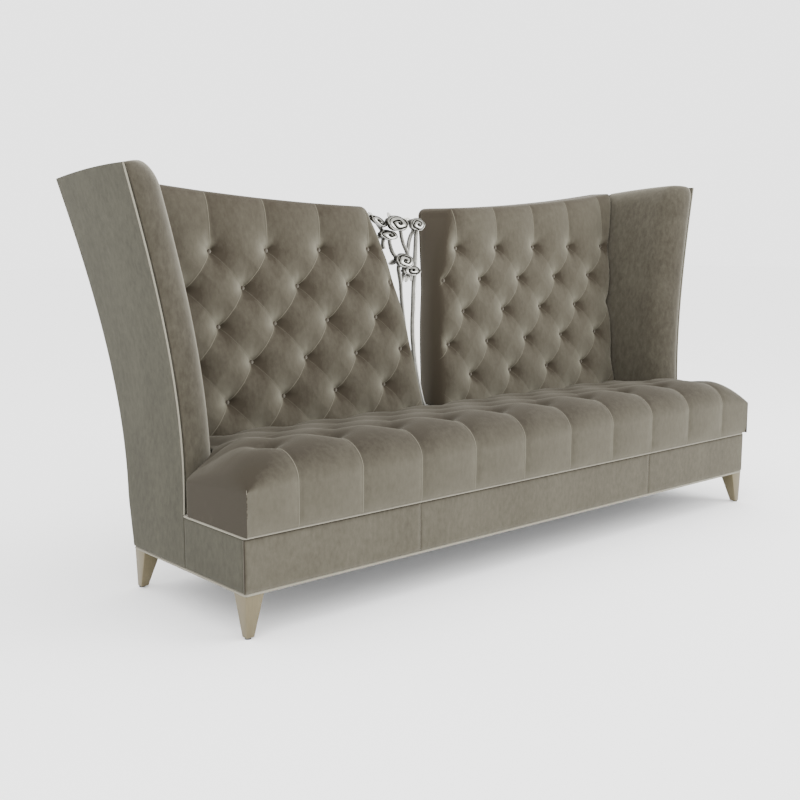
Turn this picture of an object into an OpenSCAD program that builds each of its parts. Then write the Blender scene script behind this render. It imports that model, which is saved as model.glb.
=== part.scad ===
// High back settee with two tufted half backs, a flared gap between them, flared wings and a tufted
// bench seat. A carved rose ornament stands in the gap. X runs across, Y from front to back, Z up.

/* [Base] */
// Width of the base across its side bands
base_w = 2394; // [2000:1:2800]
// Depth of the base from the front band to the outside back
base_d = 624; // [580:1:700]
// Height of the legs, floor to the underside of the bands
leg_h = 121; // [90:1:160]
// Height of the upholstered band round the base
band_h = 162; // [140:1:200]
// Thickness of the velvet and wadding on the bands
band_t = 8; // [8:0.5:12]
// Half distance between the two seams of the front band
band_seam_x = 568; // [400:1:800]
// Radius of the welts
welt_r = 4; // [3:0.5:6]

/* [Legs] */
// Width of a leg at its top
leg_top_w = 59; // [45:1:80]
// Width of a leg at its foot
leg_foot_w = 24; // [18:1:40]
// Distance of the legs from the faces of the bands
leg_inset = 3; // [2:1:12]
// Thickness of the glide under each leg
glide_t = 4; // [3:0.5:8]
// Radius of the glide
glide_r = 9; // [6:0.5:11]
// Thickness of the plate on top of each leg
leg_plate_t = 4; // [3:0.5:6]
// Radius of the bolt that holds each leg
leg_bolt_r = 4; // [3:0.5:6]

/* [Frame] */
// Thickness of the seat rails
rail_t = 32; // [24:1:45]
// Thickness of the back frame from front to back
back_frame_t = 45; // [30:1:55]
// Width of the bars of the back and wing frames
bar_w = 60; // [40:1:80]
// Width of one strap of the back webbing
strap_w = 48; // [30:1:60]
// Thickness of the webbing
strap_t = 2; // [1.5:0.5:3]
// Diameter of the spring wire
spring_wire = 4; // [3:0.5:5]
// Half width of the waves of a spring
spring_wave = 24; // [16:1:36]

/* [Seat] */
// How far the rounded front of the seat stands out past the band
seat_nose = 15; // [8:1:30]
// Height of the seat's rolled front edge where its side face ends
seat_edge_h = 410; // [380:1:440]
// Height of the sewn channels on top of the seat
seat_top_h = 498; // [470:1:530]
// Swell of the seat between its channels
seat_crown = 14; // [6:1:24]
// Depth of the rolled front edge
seat_roll = 131; // [90:1:150]
// Drop of the seat from its front to the back
seat_fall = 28; // [0:1:45]
// Distance between the channels of the seat
seat_pitch_x = 227.2; // [180:0.1:260]
// Distance between the tuft rows of the seat
seat_pitch_y = 128.5; // [100:0.5:150]
// Distance of the first tuft row from the front band
seat_row_y = 142; // [120:1:170]
// Depth of a seat tuft below its channel
seat_tuft = 34; // [15:1:45]
// Thickness of the felt pad under the seat
felt_t = 4; // [3:0.5:8]

/* [Back] */
// Height of the top edge at the gap
back_mid_h = 1177; // [1100:1:1250]
// Height of the top edge at the wings
back_end_h = 1256; // [1180:1:1320]
// Distance of the tuft plane from the back of the base at the seat
back_set = 49; // [34:1:84]
// Recline of the tufted backs
recline = 10.4; // [8:0.1:12]
// Lean of the outside back
rear_recline = 9.45; // [8:0.05:11]
// Crown of the tufted back in front of its tufts
back_crown = 38; // [20:1:50]
// Thickness of the stuffing behind the tufts
back_fill = 20; // [14:1:28]
// Distance between tufts along a row of the back
back_pitch_x = 218; // [180:1:250]
// Distance between the tuft rows of the back
back_pitch_z = 119.5; // [90:0.5:140]
// Height of the top tuft row
back_row_h = 1027; // [960:1:1060]
// Radius of the roll round the edge of a back pad
back_roll = 42; // [25:1:55]
// Radius of a covered button
button_r = 7; // [5:0.5:10]
// Radius of the outline's corner at the top of the gap
corner_r = 40; // [24:1:60]
// Thickness of the outside back and its boxing
casing_t = 8; // [8:0.5:10]

/* [Gap] */
// Half width of the gap at the seat
gap_foot = 43; // [40:1:60]
// Half width of the gap at its top
gap_top = 209; // [150:1:240]
// Height of the foot of the gap
gap_foot_h = 440; // [425:1:450]

/* [Wings] */
// Height of the outer front corner of a wing
wing_h = 1275; // [1200:1:1340]
// Height of the outer back corner of a wing
wing_back_h = 1246; // [1180:1:1290]
// How far a wing's top flares out past the base
wing_flare = 124; // [80:1:160]
// Distance of a wing's front edge from the front band
wing_y = 315; // [280:1:350]
// How far a wing's front edge leans back at its top
wing_lean = 53; // [20:1:80]
// Thickness of a wing
wing_t = 130; // [110:1:150]
// Thickness of the wing's outside panel
side_t = 8; // [8:0.5:10]
// Radius of the wing's inner front roll
wing_roll = 52; // [35:1:60]
// Swell of the wing's front
wing_swell = 8; // [4:1:8]
// Crown of the wing's padded top
wing_crown = 12; // [6:1:20]
// Thickness of the frame inside a wing
wing_frame_t = 52; // [35:1:56]

/* [Ornament] */
// Distance of the ornament from the face of the outside back
rose_set = 46; // [35:1:70]
// Radius of the largest rose
rose_r = 48; // [36:1:56]
// Thickness of a rose
rose_t = 26; // [18:1:34]
// Half thickness of the stems from front to back
stem_r = 8; // [6:0.5:10]
// Thickness of the ornament's foot plate
bracket_t = 3; // [2:0.5:4]

/* [Hidden] */

// Colours of the velvet, its welts, the wood, the steel and the silvered carving
velvet = [0.46, 0.42, 0.36];
velvet_outside = [0.44, 0.42, 0.38];
welt_cord = [0.70, 0.66, 0.58];
timber = [0.76, 0.62, 0.43];
champagne = [0.62, 0.56, 0.45];
steel = [0.55, 0.56, 0.58];
jute = [0.72, 0.62, 0.44];
cambric = [0.16, 0.16, 0.16];
silver_leaf = [0.80, 0.79, 0.74];

// Running clearance between pieces that lie against each other, and the overrun of a cut
slack = 0.3;
over = 1;
half_w = base_w / 2;
band_top = leg_h + band_h;
rail_bottom = leg_h + leg_plate_t;
rail_top = band_top - spring_wire;
felt_top = band_top + felt_t;
seat_bottom = felt_top + slack;
block_w = leg_top_w + leg_inset;
tan_recline = tan(recline);
rear_top_h = max(back_end_h, wing_back_h);
rear_lean = tan(rear_recline);
back_y = base_d - back_set;
total_front = -seat_nose;
total_back = base_d + rear_lean * (rear_top_h - leg_h);
wing_flare_share = [0, -0.21, 0.34, 1];
gap_flare_share = [0, 0.15, 0.30, 1];

function lerp(a, b, t) = a + (b - a) * t;
function bezier(c, t) = c[0] * pow(1 - t, 3) + 3 * c[1] * t * pow(1 - t, 2) + 3 * c[2] * t * t * (1 - t)
    + c[3] * pow(t, 3);
function bend(a, b, c, t) = a * pow(1 - t, 2) + 2 * b * t * (1 - t) + c * t * t;
function clamp(v, low, high) = min(max(v, low), high);
function steps(a, b, n) = [for (i = [0:n]) lerp(a, b, i / n)];
function reversed(v) = [for (i = [len(v) - 1:-1:0]) v[i]];
// Rise of a quarter round of radius r at distance d from its foot, from 0 to 1
function quarter(d, r) = sqrt(max(0, 1 - pow(1 - clamp(d / r, 0, 1), 2)));

// Outer half width of the settee at height z
function wing_x(z) = half_w
    + wing_flare * bezier(wing_flare_share, max(0, (z - band_top) / (wing_h - band_top)));
// Front edge of a wing at height z
function wing_front(z) = wing_y + wing_lean * max(0, (z - band_top) / (wing_h - band_top));
// Face of the outside back at height z
function rear_y(z) = base_d + rear_lean * (z - leg_h);
// Plane that the back tufts are pulled down to, and the plane behind the stuffing
function tuft_y(z) = back_y + tan_recline * (z - gap_foot_h);
function pad_back_y(z) = tuft_y(z) + back_fill;
// Middle height of the frames
slat_z = (rail_top + back_mid_h) / 2;
// Inner half width between the wings at height z
function inner_x(z) = wing_x(z) - wing_t;
// Half width of the gap at height z
function gap_x(z) = gap_foot + (gap_top - gap_foot)
    * bezier(gap_flare_share, max(0, (z - gap_foot_h) / (back_mid_h - gap_foot_h)));
// Height of the top edge at distance x from the middle
function top_z(x) = back_mid_h + (back_end_h - back_mid_h) * pow(x / inner_x(back_end_h), 2);
// Height of a wing's top at distance y behind the front band
function wing_top(y) = lerp(wing_h, wing_back_h,
    pow(clamp((y - wing_front(wing_h)) / (rear_y(wing_back_h) - wing_front(wing_h)), 0, 1), 1.7));

module place() {
    translate([0, -(total_front + total_back) / 2, 0]) children();
}

// A flat outline in X and Z carried from y0 to y1
module along_y(y0, y1) {
    translate([0, y1, 0]) rotate([90, 0, 0]) linear_extrude(y1 - y0) children();
}

// A flat outline in Y and Z carried from x0 to x1
module along_x(x0, x1) {
    translate([x0, 0, 0]) rotate([90, 0, 90]) linear_extrude(x1 - x0) children();
}

module both_sides() {
    children();
    mirror([1, 0, 0]) children();
}

module left_side() {
    mirror([1, 0, 0]) children();
}

// Base frame
rail_y = band_t + slack + rail_t;

module front_rail() {
    place() color(timber) along_x(-half_w + side_t + slack, half_w - side_t - slack)
        polygon([[rail_y - rail_t, rail_bottom], [rail_y, rail_bottom], [rail_y, rail_top],
            [rail_y - rail_t, rail_top]]);
}

back_rail_y = base_d - casing_t - rail_t - slack;

module back_rail() {
    place() color(timber) along_x(-half_w + side_t + slack, half_w - side_t - slack)
        polygon([[back_rail_y, rail_bottom], [back_rail_y + rail_t, rail_bottom],
            [back_rail_y + rail_t, rail_top],
            [back_rail_y, rail_top]]);
}

module end_rails() {
    place() color(timber) both_sides() along_x(half_w - side_t - slack - rail_t, half_w - side_t - slack)
        polygon([[rail_y, rail_bottom], [back_rail_y, rail_bottom], [back_rail_y, rail_top],
            [rail_y, rail_top]]);
}

cross_share = [-0.5, 0, 0.5];

// The stretchers stop below the springs, so the seat can sink without touching them
module cross_rails() {
    place() color(timber) for (s = cross_share)
        along_x(s * half_w - rail_t / 2, s * half_w + rail_t / 2)
            polygon([[rail_y, rail_bottom], [back_rail_y, rail_bottom],
                [back_rail_y, rail_top - bar_w], [rail_y, rail_top - bar_w]]);
}

block_x = half_w - side_t - slack - rail_t;
leg_x = half_w - leg_inset - leg_top_w / 2;
leg_front_y = leg_inset + leg_top_w / 2;
leg_back_y = base_d - leg_inset - leg_top_w / 2;
block_top = rail_top - bar_w;
block_share = 1.4;

module block_plan(y, turn) {
    cut = block_w * block_share;
    polygon([[block_x, y], [block_x - cut, y], [block_x - cut, y + turn * rail_t / 2],
        [block_x - rail_t / 2, y + turn * cut], [block_x, y + turn * cut]]);
}

module corner_blocks() {
    place() color(timber) both_sides() for (end = [[rail_y, 1], [back_rail_y, -1]])
        translate([0, 0, rail_bottom]) linear_extrude(block_top - rail_bottom) block_plan(end[0], end[1]);
}

// Legs, with their plates, bolts and glides
module leg_side(outer, turn) {
    polygon([[outer, leg_h], [outer + turn * leg_top_w, leg_h],
        [outer + turn * (leg_foot_w + leg_inset), glide_t],
        [outer + turn * leg_inset, glide_t]]);
}

module leg(back) {
    place() color(champagne) difference() {
        intersection() {
            along_x(half_w - leg_inset - leg_top_w - over, half_w)
                leg_side(back ? base_d - leg_inset : leg_inset,
                back ? -1 : 1);
            along_y(0, base_d) leg_side(half_w - leg_inset, -1);
        }
        translate([leg_x, back ? leg_back_y : leg_front_y, leg_h / 2])
            cylinder(r = leg_bolt_r, h = leg_h, $fn = 12);
    }
}

module front_leg_left() { left_side() leg(false); }
module front_leg_right() { leg(false); }
module back_leg_left() { left_side() leg(true); }
module back_leg_right() { leg(true); }

leg_plate_w = leg_top_w - 2 * (2 * welt_r + slack - leg_inset);

module leg_plates() {
    place() color(steel) both_sides() for (y = [leg_front_y, leg_back_y])
        translate([leg_x, y, leg_h]) difference() {
            translate([-leg_plate_w / 2, -leg_plate_w / 2, 0]) cube([leg_plate_w, leg_plate_w, leg_plate_t]);
            translate([0, 0, -over]) cylinder(r = leg_bolt_r, h = leg_plate_t + 2 * over, $fn = 12);
        }
}

module leg_bolts() {
    place() color(steel) both_sides() for (y = [leg_front_y, leg_back_y])
        translate([leg_x, y, leg_h / 2])
            cylinder(r = leg_bolt_r - slack / 3, h = leg_h / 2 + leg_plate_t, $fn = 12);
}

module leg_glides() {
    place() color(cambric) both_sides()
        for (y = [leg_inset + leg_foot_w / 2, base_d - leg_inset - leg_foot_w / 2])
        translate([half_w - leg_inset - leg_foot_w / 2, y, 0]) cylinder(r = glide_r, h = glide_t, $fn = 40);
}

// Black cambric under the frame, cut round the leg plates
module dust_cover() {
    cover_t = leg_plate_t / 4;
    inside = band_t + welt_r;
    place() color(cambric) difference() {
        translate([-half_w + inside, inside, rail_bottom - cover_t])
            cube([base_w - 2 * inside, base_d - 2 * inside, cover_t]);
        both_sides() for (y = [0, base_d - leg_inset - leg_top_w - slack])
            translate([half_w - leg_inset - leg_top_w - slack, y, leg_h]) cube(leg_top_w + leg_inset + slack);
    }
}

// Seat springs, bent to and fro from one flat wire, with the clips that hold them on the rails
spring_pitch = seat_pitch_x;
spring_count = floor((inner_x(band_top) - bar_w) / spring_pitch);
spring_front = rail_y - rail_t / 2;
spring_back = back_rail_y + rail_t / 4;
spring_wave_count = 4;

spring_end = 0.04;
function spring_x(t) = spring_wave * sin((t - spring_end) / (1 - 2 * spring_end) * spring_wave_count * 360);

module seat_spring() {
    wave = [for (t = steps(spring_end, 1 - spring_end, spring_wave_count * 6))
        [spring_x(t), lerp(spring_front, spring_back, t)]];
    line = concat([[0, spring_front]], wave, [[0, spring_back]]);
    side = [spring_wire / 2, 0];
    linear_extrude(spring_wire)
        polygon(concat([for (p = line) p - side], [for (p = reversed(line)) p + side]));
}

module seat_springs() {
    place() color(steel) for (i = [-spring_count:spring_count]) translate([i * spring_pitch, 0, rail_top])
        seat_spring();
}

clip_w = 4 * spring_wire;

module spring_clips() {
    place() color(steel) for (i = [-spring_count:spring_count], y = [spring_front, spring_back])
        translate([i * spring_pitch - clip_w / 2, y - clip_w / 2, rail_top]) difference() {
            cube([clip_w, clip_w, spring_wire]);
            translate([clip_w / 2 - spring_wire, -over, 0])
                cube([2 * spring_wire, clip_w + 2 * over, spring_wire + over]);
        }
}

wing_lip = 0.58 * wing_frame_t;
frame_x = half_w - side_t - wing_frame_t - 3 * slack;

module felt_pad() {
    edge = 2 * welt_r + slack;
    place() color(jute) translate([0, 0, band_top]) linear_extrude(felt_t) polygon([
        [-half_w + edge, edge], [half_w - edge, edge], [half_w - edge, wing_y + wing_lip - slack],
        [frame_x, wing_y + wing_lip - slack], [frame_x, pad_back_y(band_top) - slack],
        [-frame_x, pad_back_y(band_top) - slack], [-frame_x, wing_y + wing_lip - slack],
        [-half_w + edge, wing_y + wing_lip - slack]]);
}

// A closed soft form: the rows of a grid make its show face, rings step down from the rim, and a flat back
// closes it round its middle point
function rim(grid) = let (m = len(grid) - 1, n = len(grid[0]) - 1) concat(
    [for (i = [0:n]) grid[0][i]], [for (j = [1:m]) grid[j][n]],
    [for (i = [n - 1:-1:0]) grid[m][i]], [for (j = [m - 1:-1:1]) grid[j][0]]);

module pillow(grid, rings, middle) {
    rows = len(grid);
    cols = len(grid[0]);
    around = len(rings[0]);
    show = rows * cols;
    edge = concat([for (i = [0:cols - 1]) i], [for (j = [1:rows - 1]) j * cols + cols - 1],
        [for (i = [cols - 2:-1:0]) (rows - 1) * cols + i], [for (j = [rows - 2:-1:1]) j * cols]);
    function at(k, e) = k == 0 ? edge[e % around] : show + (k - 1) * around + e % around;
    polyhedron(concat([for (row = grid) each row], [for (ring = rings) each ring], [middle]), concat(
        [for (j = [0:rows - 2], i = [0:cols - 2]) each [
            [j * cols + i, (j + 1) * cols + i, (j + 1) * cols + i + 1],
            [j * cols + i, (j + 1) * cols + i + 1, j * cols + i + 1]]],
        [for (k = [0:len(rings) - 1], e = [0:around - 1]) each [
            [at(k, e), at(k, e + 1), at(k + 1, e + 1)], [at(k, e), at(k + 1, e + 1), at(k + 1, e)]]],
        [for (e = [0:around - 1]) [at(len(rings), e), at(len(rings), e + 1), show + len(rings) * around]]),
        convexity = 6);
}

// Height of a tufted surface from 0 at a tuft to 1 on a crown. Tufts lie where p and q are both whole
// numbers, and folds run along the lines between them.
tuft_spread = 2.2;
fold_sharpness = 0.6;
fold_share = 0.4;
function tuft_rise(p, q) = 1 - pow(pow(cos(180 * p) * cos(180 * q), 2), tuft_spread);
function fold_rise(p, q) = pow(abs(sin(180 * p) * sin(180 * q)), fold_sharpness);
function tufted(p, q) = lerp(tuft_rise(p, q), fold_rise(p, q), fold_share);

// Seat: the channels run up the front to the first row of tufts, and diamonds follow behind it
seat_end_roll = 1.5 * seat_roll;
seat_back_y = tuft_y(seat_top_h - seat_fall) - back_crown - slack;
seat_side_x = inner_x((band_top + seat_top_h) / 2) - slack - welt_r / 2;
seat_step_y = wing_y - wing_swell - slack;
channel_share = 0.3;
channel_steepness = 3;

function seat_phase(y) = max(0, (y - seat_row_y) / (2 * seat_pitch_y));
function seat_across(x) = x / seat_pitch_x + 0.5;
function seat_channel(x) = fold_rise(seat_across(x), seat_across(x));
function seat_level(y) = seat_top_h - seat_fall * clamp((y - seat_row_y) / (seat_back_y - seat_row_y), 0, 1);
function seat_pull(x, y) = let (a = seat_across(x), b = seat_phase(y))
    y > seat_row_y ? tufted(a + b, a - b)
    : lerp(lerp(1, seat_channel(x), channel_share), tufted(a, a),
        pow(clamp(y / seat_row_y, 0, 1), channel_steepness));
function seat_z(x, y) = let (
        rise = quarter(y + seat_nose, seat_roll) * quarter(half_w - abs(x), seat_end_roll),
        level = seat_level(y) + seat_crown)
    lerp(seat_edge_h, level - (seat_tuft + seat_crown) * (1 - seat_pull(x, y)), rise);

// The front face is drawn in at the channels
seat_draw = seat_nose / 4;
seat_col = seat_pitch_x / 4;
seat_cols = ceil(half_w / seat_col);
seat_roll_rows = 5;
seat_diamonds = floor((seat_step_y - seat_pitch_y / 5 - seat_row_y) / (seat_pitch_y / 4));
seat_rows = concat(
    [for (a = steps(0, 90, seat_roll_rows)) seat_roll * (1 - cos(a)) - seat_nose],
    [for (i = [0:seat_diamonds]) seat_row_y + i * seat_pitch_y / 4], [seat_step_y - slack],
    [for (y = [seat_row_y + (seat_diamonds + 1) * seat_pitch_y / 4:seat_pitch_y / 4
            :seat_back_y - seat_pitch_y / 8])
        max(y, seat_step_y + slack)],
    [seat_back_y]);

function seat_half(y) = y < seat_step_y ? half_w : seat_side_x;
function seat_col_x(k, y) = sign(k) * min(abs(k) * seat_col, seat_half(y) - (seat_cols - abs(k)) * slack);
function seat_col_y(x, y) = y + seat_draw * (1 - seat_channel(x)) * (1 - quarter(y + seat_nose, seat_roll));
seat_grid = [for (y = seat_rows) [for (k = [-seat_cols:seat_cols]) let (x = seat_col_x(k, y))
    [x, seat_col_y(x, y), seat_z(x, y)]]];

seat_ring_share = [0.45, 0];
seat_swell_share = [0.85, 0];
function seat_tail(y, drop) = y > seat_back_y - slack ? tan_recline * drop : 0;

module seat_cushion() {
    place() color(velvet) pillow(seat_grid, [for (k = [0:len(seat_ring_share) - 1]) [for (v = rim(seat_grid))
        [clamp(v[0], -half_w + welt_r / 2, half_w - welt_r / 2),
            lerp(max(v[1], welt_r / 2), v[1], seat_swell_share[k])
                - seat_tail(v[1], (v[2] - seat_bottom) * (1 - seat_ring_share[k])),
            lerp(seat_bottom, v[2], seat_ring_share[k])]]], [0, seat_step_y / 2, seat_bottom]);
}

// Half of the outline of the back in X and Z, from height z0 up, drawn in by d from the gap and the top and
// by out from the side
function tip_z(d) = top_z(gap_x(back_mid_h)) - d;
function crest_z(x) = x < inner_x(back_end_h) ? top_z(x)
    : lerp(back_end_h, wing_back_h, (x - inner_x(back_end_h)) / (wing_x(back_end_h) - inner_x(back_end_h)));
function half_back(z0, d, out) = let (
        r = max(corner_r - d, corner_r / 4), tip = tip_z(d), start = [gap_x(tip - r) + d, tip - r],
        corner = [gap_x(tip) + d, tip], end = [corner[0] + r, top_z(corner[0] + r) - d],
        side_z = crest_z(wing_x(back_end_h) - out) - d, side = wing_x(side_z) - out,
        wing = inner_x(back_end_h))
    concat([for (z = steps(z0, start[1], 8)) [gap_x(z) + d, z]],
        [for (t = steps(0.25, 1, 3))
            [bend(start[0], corner[0], end[0], t), bend(start[1], corner[1], end[1], t)]],
        [for (x = steps(end[0], wing, 6)) if (x > end[0]) [x, top_z(x) - d]],
        [for (z = steps(side_z, z0, 7)) [wing_x(z) - out, z]]);

// The space between two reclined planes, each given by its offset from the plane behind the stuffing
module behind_pad(z0, z1, near, far) {
    along_x(0, 2 * half_w) polygon([[pad_back_y(z0) + near, z0], [pad_back_y(z0) + far, z0],
        [pad_back_y(z1) + far, z1], [pad_back_y(z1) + near, z1]]);
}

frame_gap = casing_t + slack;
frame_out = side_t + wing_frame_t + 2 * slack;
frame_top_z = rear_top_h + over;

module frame_window(z0, z1) {
    polygon(concat([for (z = steps(z0, z1, 2)) [gap_x(z) + frame_gap + bar_w, z]],
        [for (z = steps(z1, z0, 2)) [wing_x(z) - frame_out - bar_w, z]]));
}

module back_frame() {
    place() color(timber) difference() {
        intersection() {
            along_y(0, total_back) polygon(half_back(band_top + slack, frame_gap, frame_out));
            behind_pad(rail_top - over, frame_top_z, strap_t + 2 * slack, strap_t + 2 * slack + back_frame_t);
        }
        along_y(0, total_back) frame_window(band_top + bar_w, slat_z - bar_w / 2);
        along_y(0, total_back) frame_window(slat_z + bar_w / 2, back_mid_h - frame_gap - bar_w);
    }
}

module back_frame_left() { left_side() back_frame(); }
module back_frame_right() { back_frame(); }

strap_rows = 4;
strap_cols = 3;

module back_webbing() {
    low = rail_top + bar_w / 2;
    inset = frame_gap + bar_w / 2;
    place() color(jute) intersection() {
        along_y(0, total_back) intersection() {
            polygon(half_back(low, inset, frame_out + bar_w / 2));
            union() {
                for (t = steps(0.1, 0.9, strap_rows - 1))
                    translate([0, lerp(low, back_mid_h, t) - strap_w / 2]) square([2 * half_w, strap_w]);
                for (t = steps(0.12, 0.92, strap_cols - 1))
                    translate([lerp(gap_foot, inner_x(band_top), t) - strap_w / 2, 0])
                        square([strap_w, 2 * wing_h]);
            }
        }
        behind_pad(low - over, frame_top_z, slack, strap_t + slack);
    }
}

module back_webbing_left() { left_side() back_webbing(); }
module back_webbing_right() { back_webbing(); }

// Outside back: a thin shell with boxing over the top edge and down the side of the gap
casing_low = leg_h + 2 * welt_r + slack;
screw_r = 0.7 * bracket_t;
screw_x = 0.8 * gap_foot;
function ornament_y(z) = rear_y(z) - rose_set;

module outside_back() {
    place() color(velvet_outside) difference() {
        intersection() {
            along_y(0, total_back + over) polygon(concat([[slack / 2, casing_low], [slack / 2, gap_foot_h]],
                half_back(gap_foot_h, 0, side_t + slack), [[half_w - side_t - slack, casing_low]]));
            along_x(0, 2 * half_w) polygon([
                [rear_y(0) - casing_t, 0], [rear_y(gap_foot_h) - casing_t - over, gap_foot_h - 2 * casing_t],
                [pad_back_y(gap_foot_h - 2 * casing_t) + slack, gap_foot_h - 2 * casing_t],
                [pad_back_y(rear_top_h + over) + slack, rear_top_h + over],
                [rear_y(rear_top_h + over), rear_top_h + over], [rear_y(0), 0]]);
        }
        intersection() {
            along_y(-over, total_back + over) polygon(concat([[-over, 0], [-over, gap_foot_h - casing_t]],
                half_back(gap_foot_h - casing_t, casing_t, side_t - over), [[half_w, 0]]));
            along_x(-over, 2 * half_w) polygon([[-over, 0], [rear_y(0) - casing_t, 0],
                [rear_y(rear_top_h + over) - casing_t, rear_top_h + over], [-over, rear_top_h + over]]);
        }
        translate([screw_x, ornament_y(gap_foot_h), gap_foot_h - 2 * casing_t])
            cylinder(r = screw_r + slack / 3, h = 3 * casing_t, $fn = 8);
    }
}

module outside_back_left() { left_side() outside_back(); }
module outside_back_right() { outside_back(); }

// Tufted back pads
back_low_z = gap_foot_h;
back_col = back_pitch_x / 6;
back_row = back_pitch_z / 3;
back_rim_depth = 0.2 * back_crown;
back_first_k = floor(gap_foot / back_col);
back_last_k = ceil(inner_x(back_end_h) / back_col);
back_first_j = ceil((back_row_h - back_low_z) / back_row);
back_last_j = ceil((back_end_h - back_row_h) / back_row);

function back_corner_drop(d) = corner_r * (1 - quarter(d, corner_r));
function back_top(x) = let (foot = gap_x(back_mid_h))
    top_z(max(x, foot)) - back_corner_drop(max(0, x - foot));
function back_limit_z(k) = back_top(clamp(k * back_col, gap_x(back_mid_h) + (k - back_first_k) * slack,
    inner_x(back_end_h) - slack));
function back_point_z(k, j) = min(back_row_h + j * back_row, back_limit_z(k) - (back_last_j - j) * slack);
function back_z(k, j) = max(back_point_z(k, j), back_low_z + (j + back_first_j) * slack);
function back_x(k, z) = clamp(k * back_col, gap_x(z) + (k - back_first_k) * slack,
    inner_x(z) - slack - (back_last_k - k) * slack);
function back_phase(z) = (min(z, back_row_h) - back_row_h) / (2 * back_pitch_z);
function back_edge_rise(x, z) = quarter(x - gap_x(z), back_roll)
    * quarter(back_top(x) - z, back_roll) * quarter(inner_x(z) - x, back_roll / 2);
function back_valley(z) = clamp((z - back_row_h) / (2 * back_roll), 0, 1);
function back_rise(x, z) = let (a = x / back_pitch_x, b = back_phase(z))
    lerp(tufted(a + b, a - b), lerp(1, fold_rise(a, a), channel_share), back_valley(z));
function back_pad_y(x, z) = tuft_y(z)
    - lerp(back_rim_depth, back_crown * back_rise(x, z), back_edge_rise(x, z));

back_grid = [for (j = [-back_first_j:back_last_j]) [for (k = [back_first_k:back_last_k])
    let (z = back_z(k, j), x = back_x(k, z)) [x, back_pad_y(x, z), z]]];

module back_pad() {
    place() color(velvet) pillow(back_grid, [[for (v = rim(back_grid)) [v[0], pad_back_y(v[2]), v[2]]]],
        [half_w / 2, pad_back_y(slat_z), slat_z]);
}

module back_pad_left() { left_side() back_pad(); }
module back_pad_right() { back_pad(); }

// Covered buttons, one in each tuft, domed in front and pointed behind where the thread pulls them in
button_t = button_r;
button_proud = 0.7 * button_r;

module button() {
    rotate([90 - recline, 0, 0]) rotate_extrude($fn = 6) polygon([[0, slack], [button_r, button_proud],
        [button_r * 0.7, button_proud + button_t * 0.4], [0, button_proud + button_t * 0.5]]);
}

function tuft_inside(x, z) = x > gap_x(z) + button_r && x < inner_x(z) - button_r;

module back_buttons() {
    place() color(velvet) for (row = [0:4])
        let (z = back_row_h - row * back_pitch_z, shift = row % 2 == 0 ? 0 : 0.5)
        for (i = [0:6]) let (x = (i + shift) * back_pitch_x)
            if (tuft_inside(x, z)) translate([x, tuft_y(z), z]) button();
}

module back_buttons_left() { left_side() back_buttons(); }
module back_buttons_right() { back_buttons(); }

// Wings: a frame on the end rail, a padded inside, front and top, and a flat outside panel
wing_frame_top = wing_back_h - 2 * bar_w / 3;
wing_frame_in = side_t + wing_frame_t + 3 * slack;

// A strip of the wing in X and Z between two depths from its outer face
module wing_strip(z0, z1, near, far) {
    polygon(concat([for (z = steps(z0, z1, 12)) [wing_x(z) - near, z]],
        [for (z = steps(z1, z0, 12)) [wing_x(z) - far, z]]));
}

module wing_window(z0, z1) {
    polygon([for (p = [[z0, 0], [z1, 0], [z1, 1], [z0, 1]]) [p[1] == 0 ? wing_front(p[0]) + wing_lip + bar_w
        : rear_y(p[0]) - casing_t - bar_w, p[0]]]);
}

module wing_frame() {
    place() color(timber) intersection() {
        along_y(0, total_back)
            wing_strip(rail_top, wing_frame_top, side_t + slack, side_t + slack + wing_frame_t);
        along_x(0, 2 * half_w) difference() {
            polygon([for (p = [[rail_top, 0], [wing_frame_top, 0], [wing_frame_top, 1], [rail_top, 1]])
                [p[1] == 0 ? wing_front(p[0]) + wing_lip + slack : rear_y(p[0]) - casing_t - slack, p[0]]]);
            wing_window(rail_top + bar_w, slat_z - bar_w / 2);
            wing_window(slat_z + bar_w / 2, wing_frame_top - bar_w);
        }
    }
}

module wing_frame_left() { left_side() wing_frame(); }
module wing_frame_right() { wing_frame(); }

// Rings of points joined into a closed solid, with flat ends or as a loop. Each ring runs clockwise as seen
// from the ring after it.
module skin(rings, loop = false) {
    n = len(rings[0]);
    m = len(rings);
    polyhedron([for (ring = rings) each ring], concat(
        [for (k = [0:m - (loop ? 1 : 2)], e = [0:n - 1])
            let (a = k * n + e, b = k * n + (e + 1) % n, c = (k + 1) % m * n + (e + 1) % n,
                d = (k + 1) % m * n + e)
            each [[a, b, c], [a, c, d]]],
        loop ? [] : [[for (e = [n - 1:-1:0]) e], [for (e = [0:n - 1]) (m - 1) * n + e]]), convexity = 6);
}

wing_chain = 8;
wing_roll_steps = 3;
wing_levels = 9;

// Points of a wing's section as depth from its outer face and Y: the show side, then the side on the frame
function wing_show(z, i) = let (f = wing_front(z), a = 90 * (i - 2) / wing_roll_steps)
    i == 0 ? [side_t + slack, f]
    : i == 1 ? [(side_t + wing_t - wing_roll) / 2, f - 0.85 * wing_swell]
    : i <= 2 + wing_roll_steps
        ? [wing_t - wing_roll * (1 - sin(a)), f - wing_swell + wing_roll * (1 - cos(a))]
    : [wing_t, lerp(f - wing_swell + wing_roll, pad_back_y(z), (i - 5) / (wing_chain - 5))];
function wing_inner(z, i) = let (f = wing_front(z) + wing_lip) i <= 3
    ? [lerp(side_t + slack, wing_frame_in, i / 3), f]
    : [wing_frame_in, lerp(f, pad_back_y(z), (i - 3) / (wing_chain - 3))];
function wing_outer(z, i) = [side_t + slack,
    lerp(wing_front(z) + wing_lip / 3, pad_back_y(z), i / wing_chain)];
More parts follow.
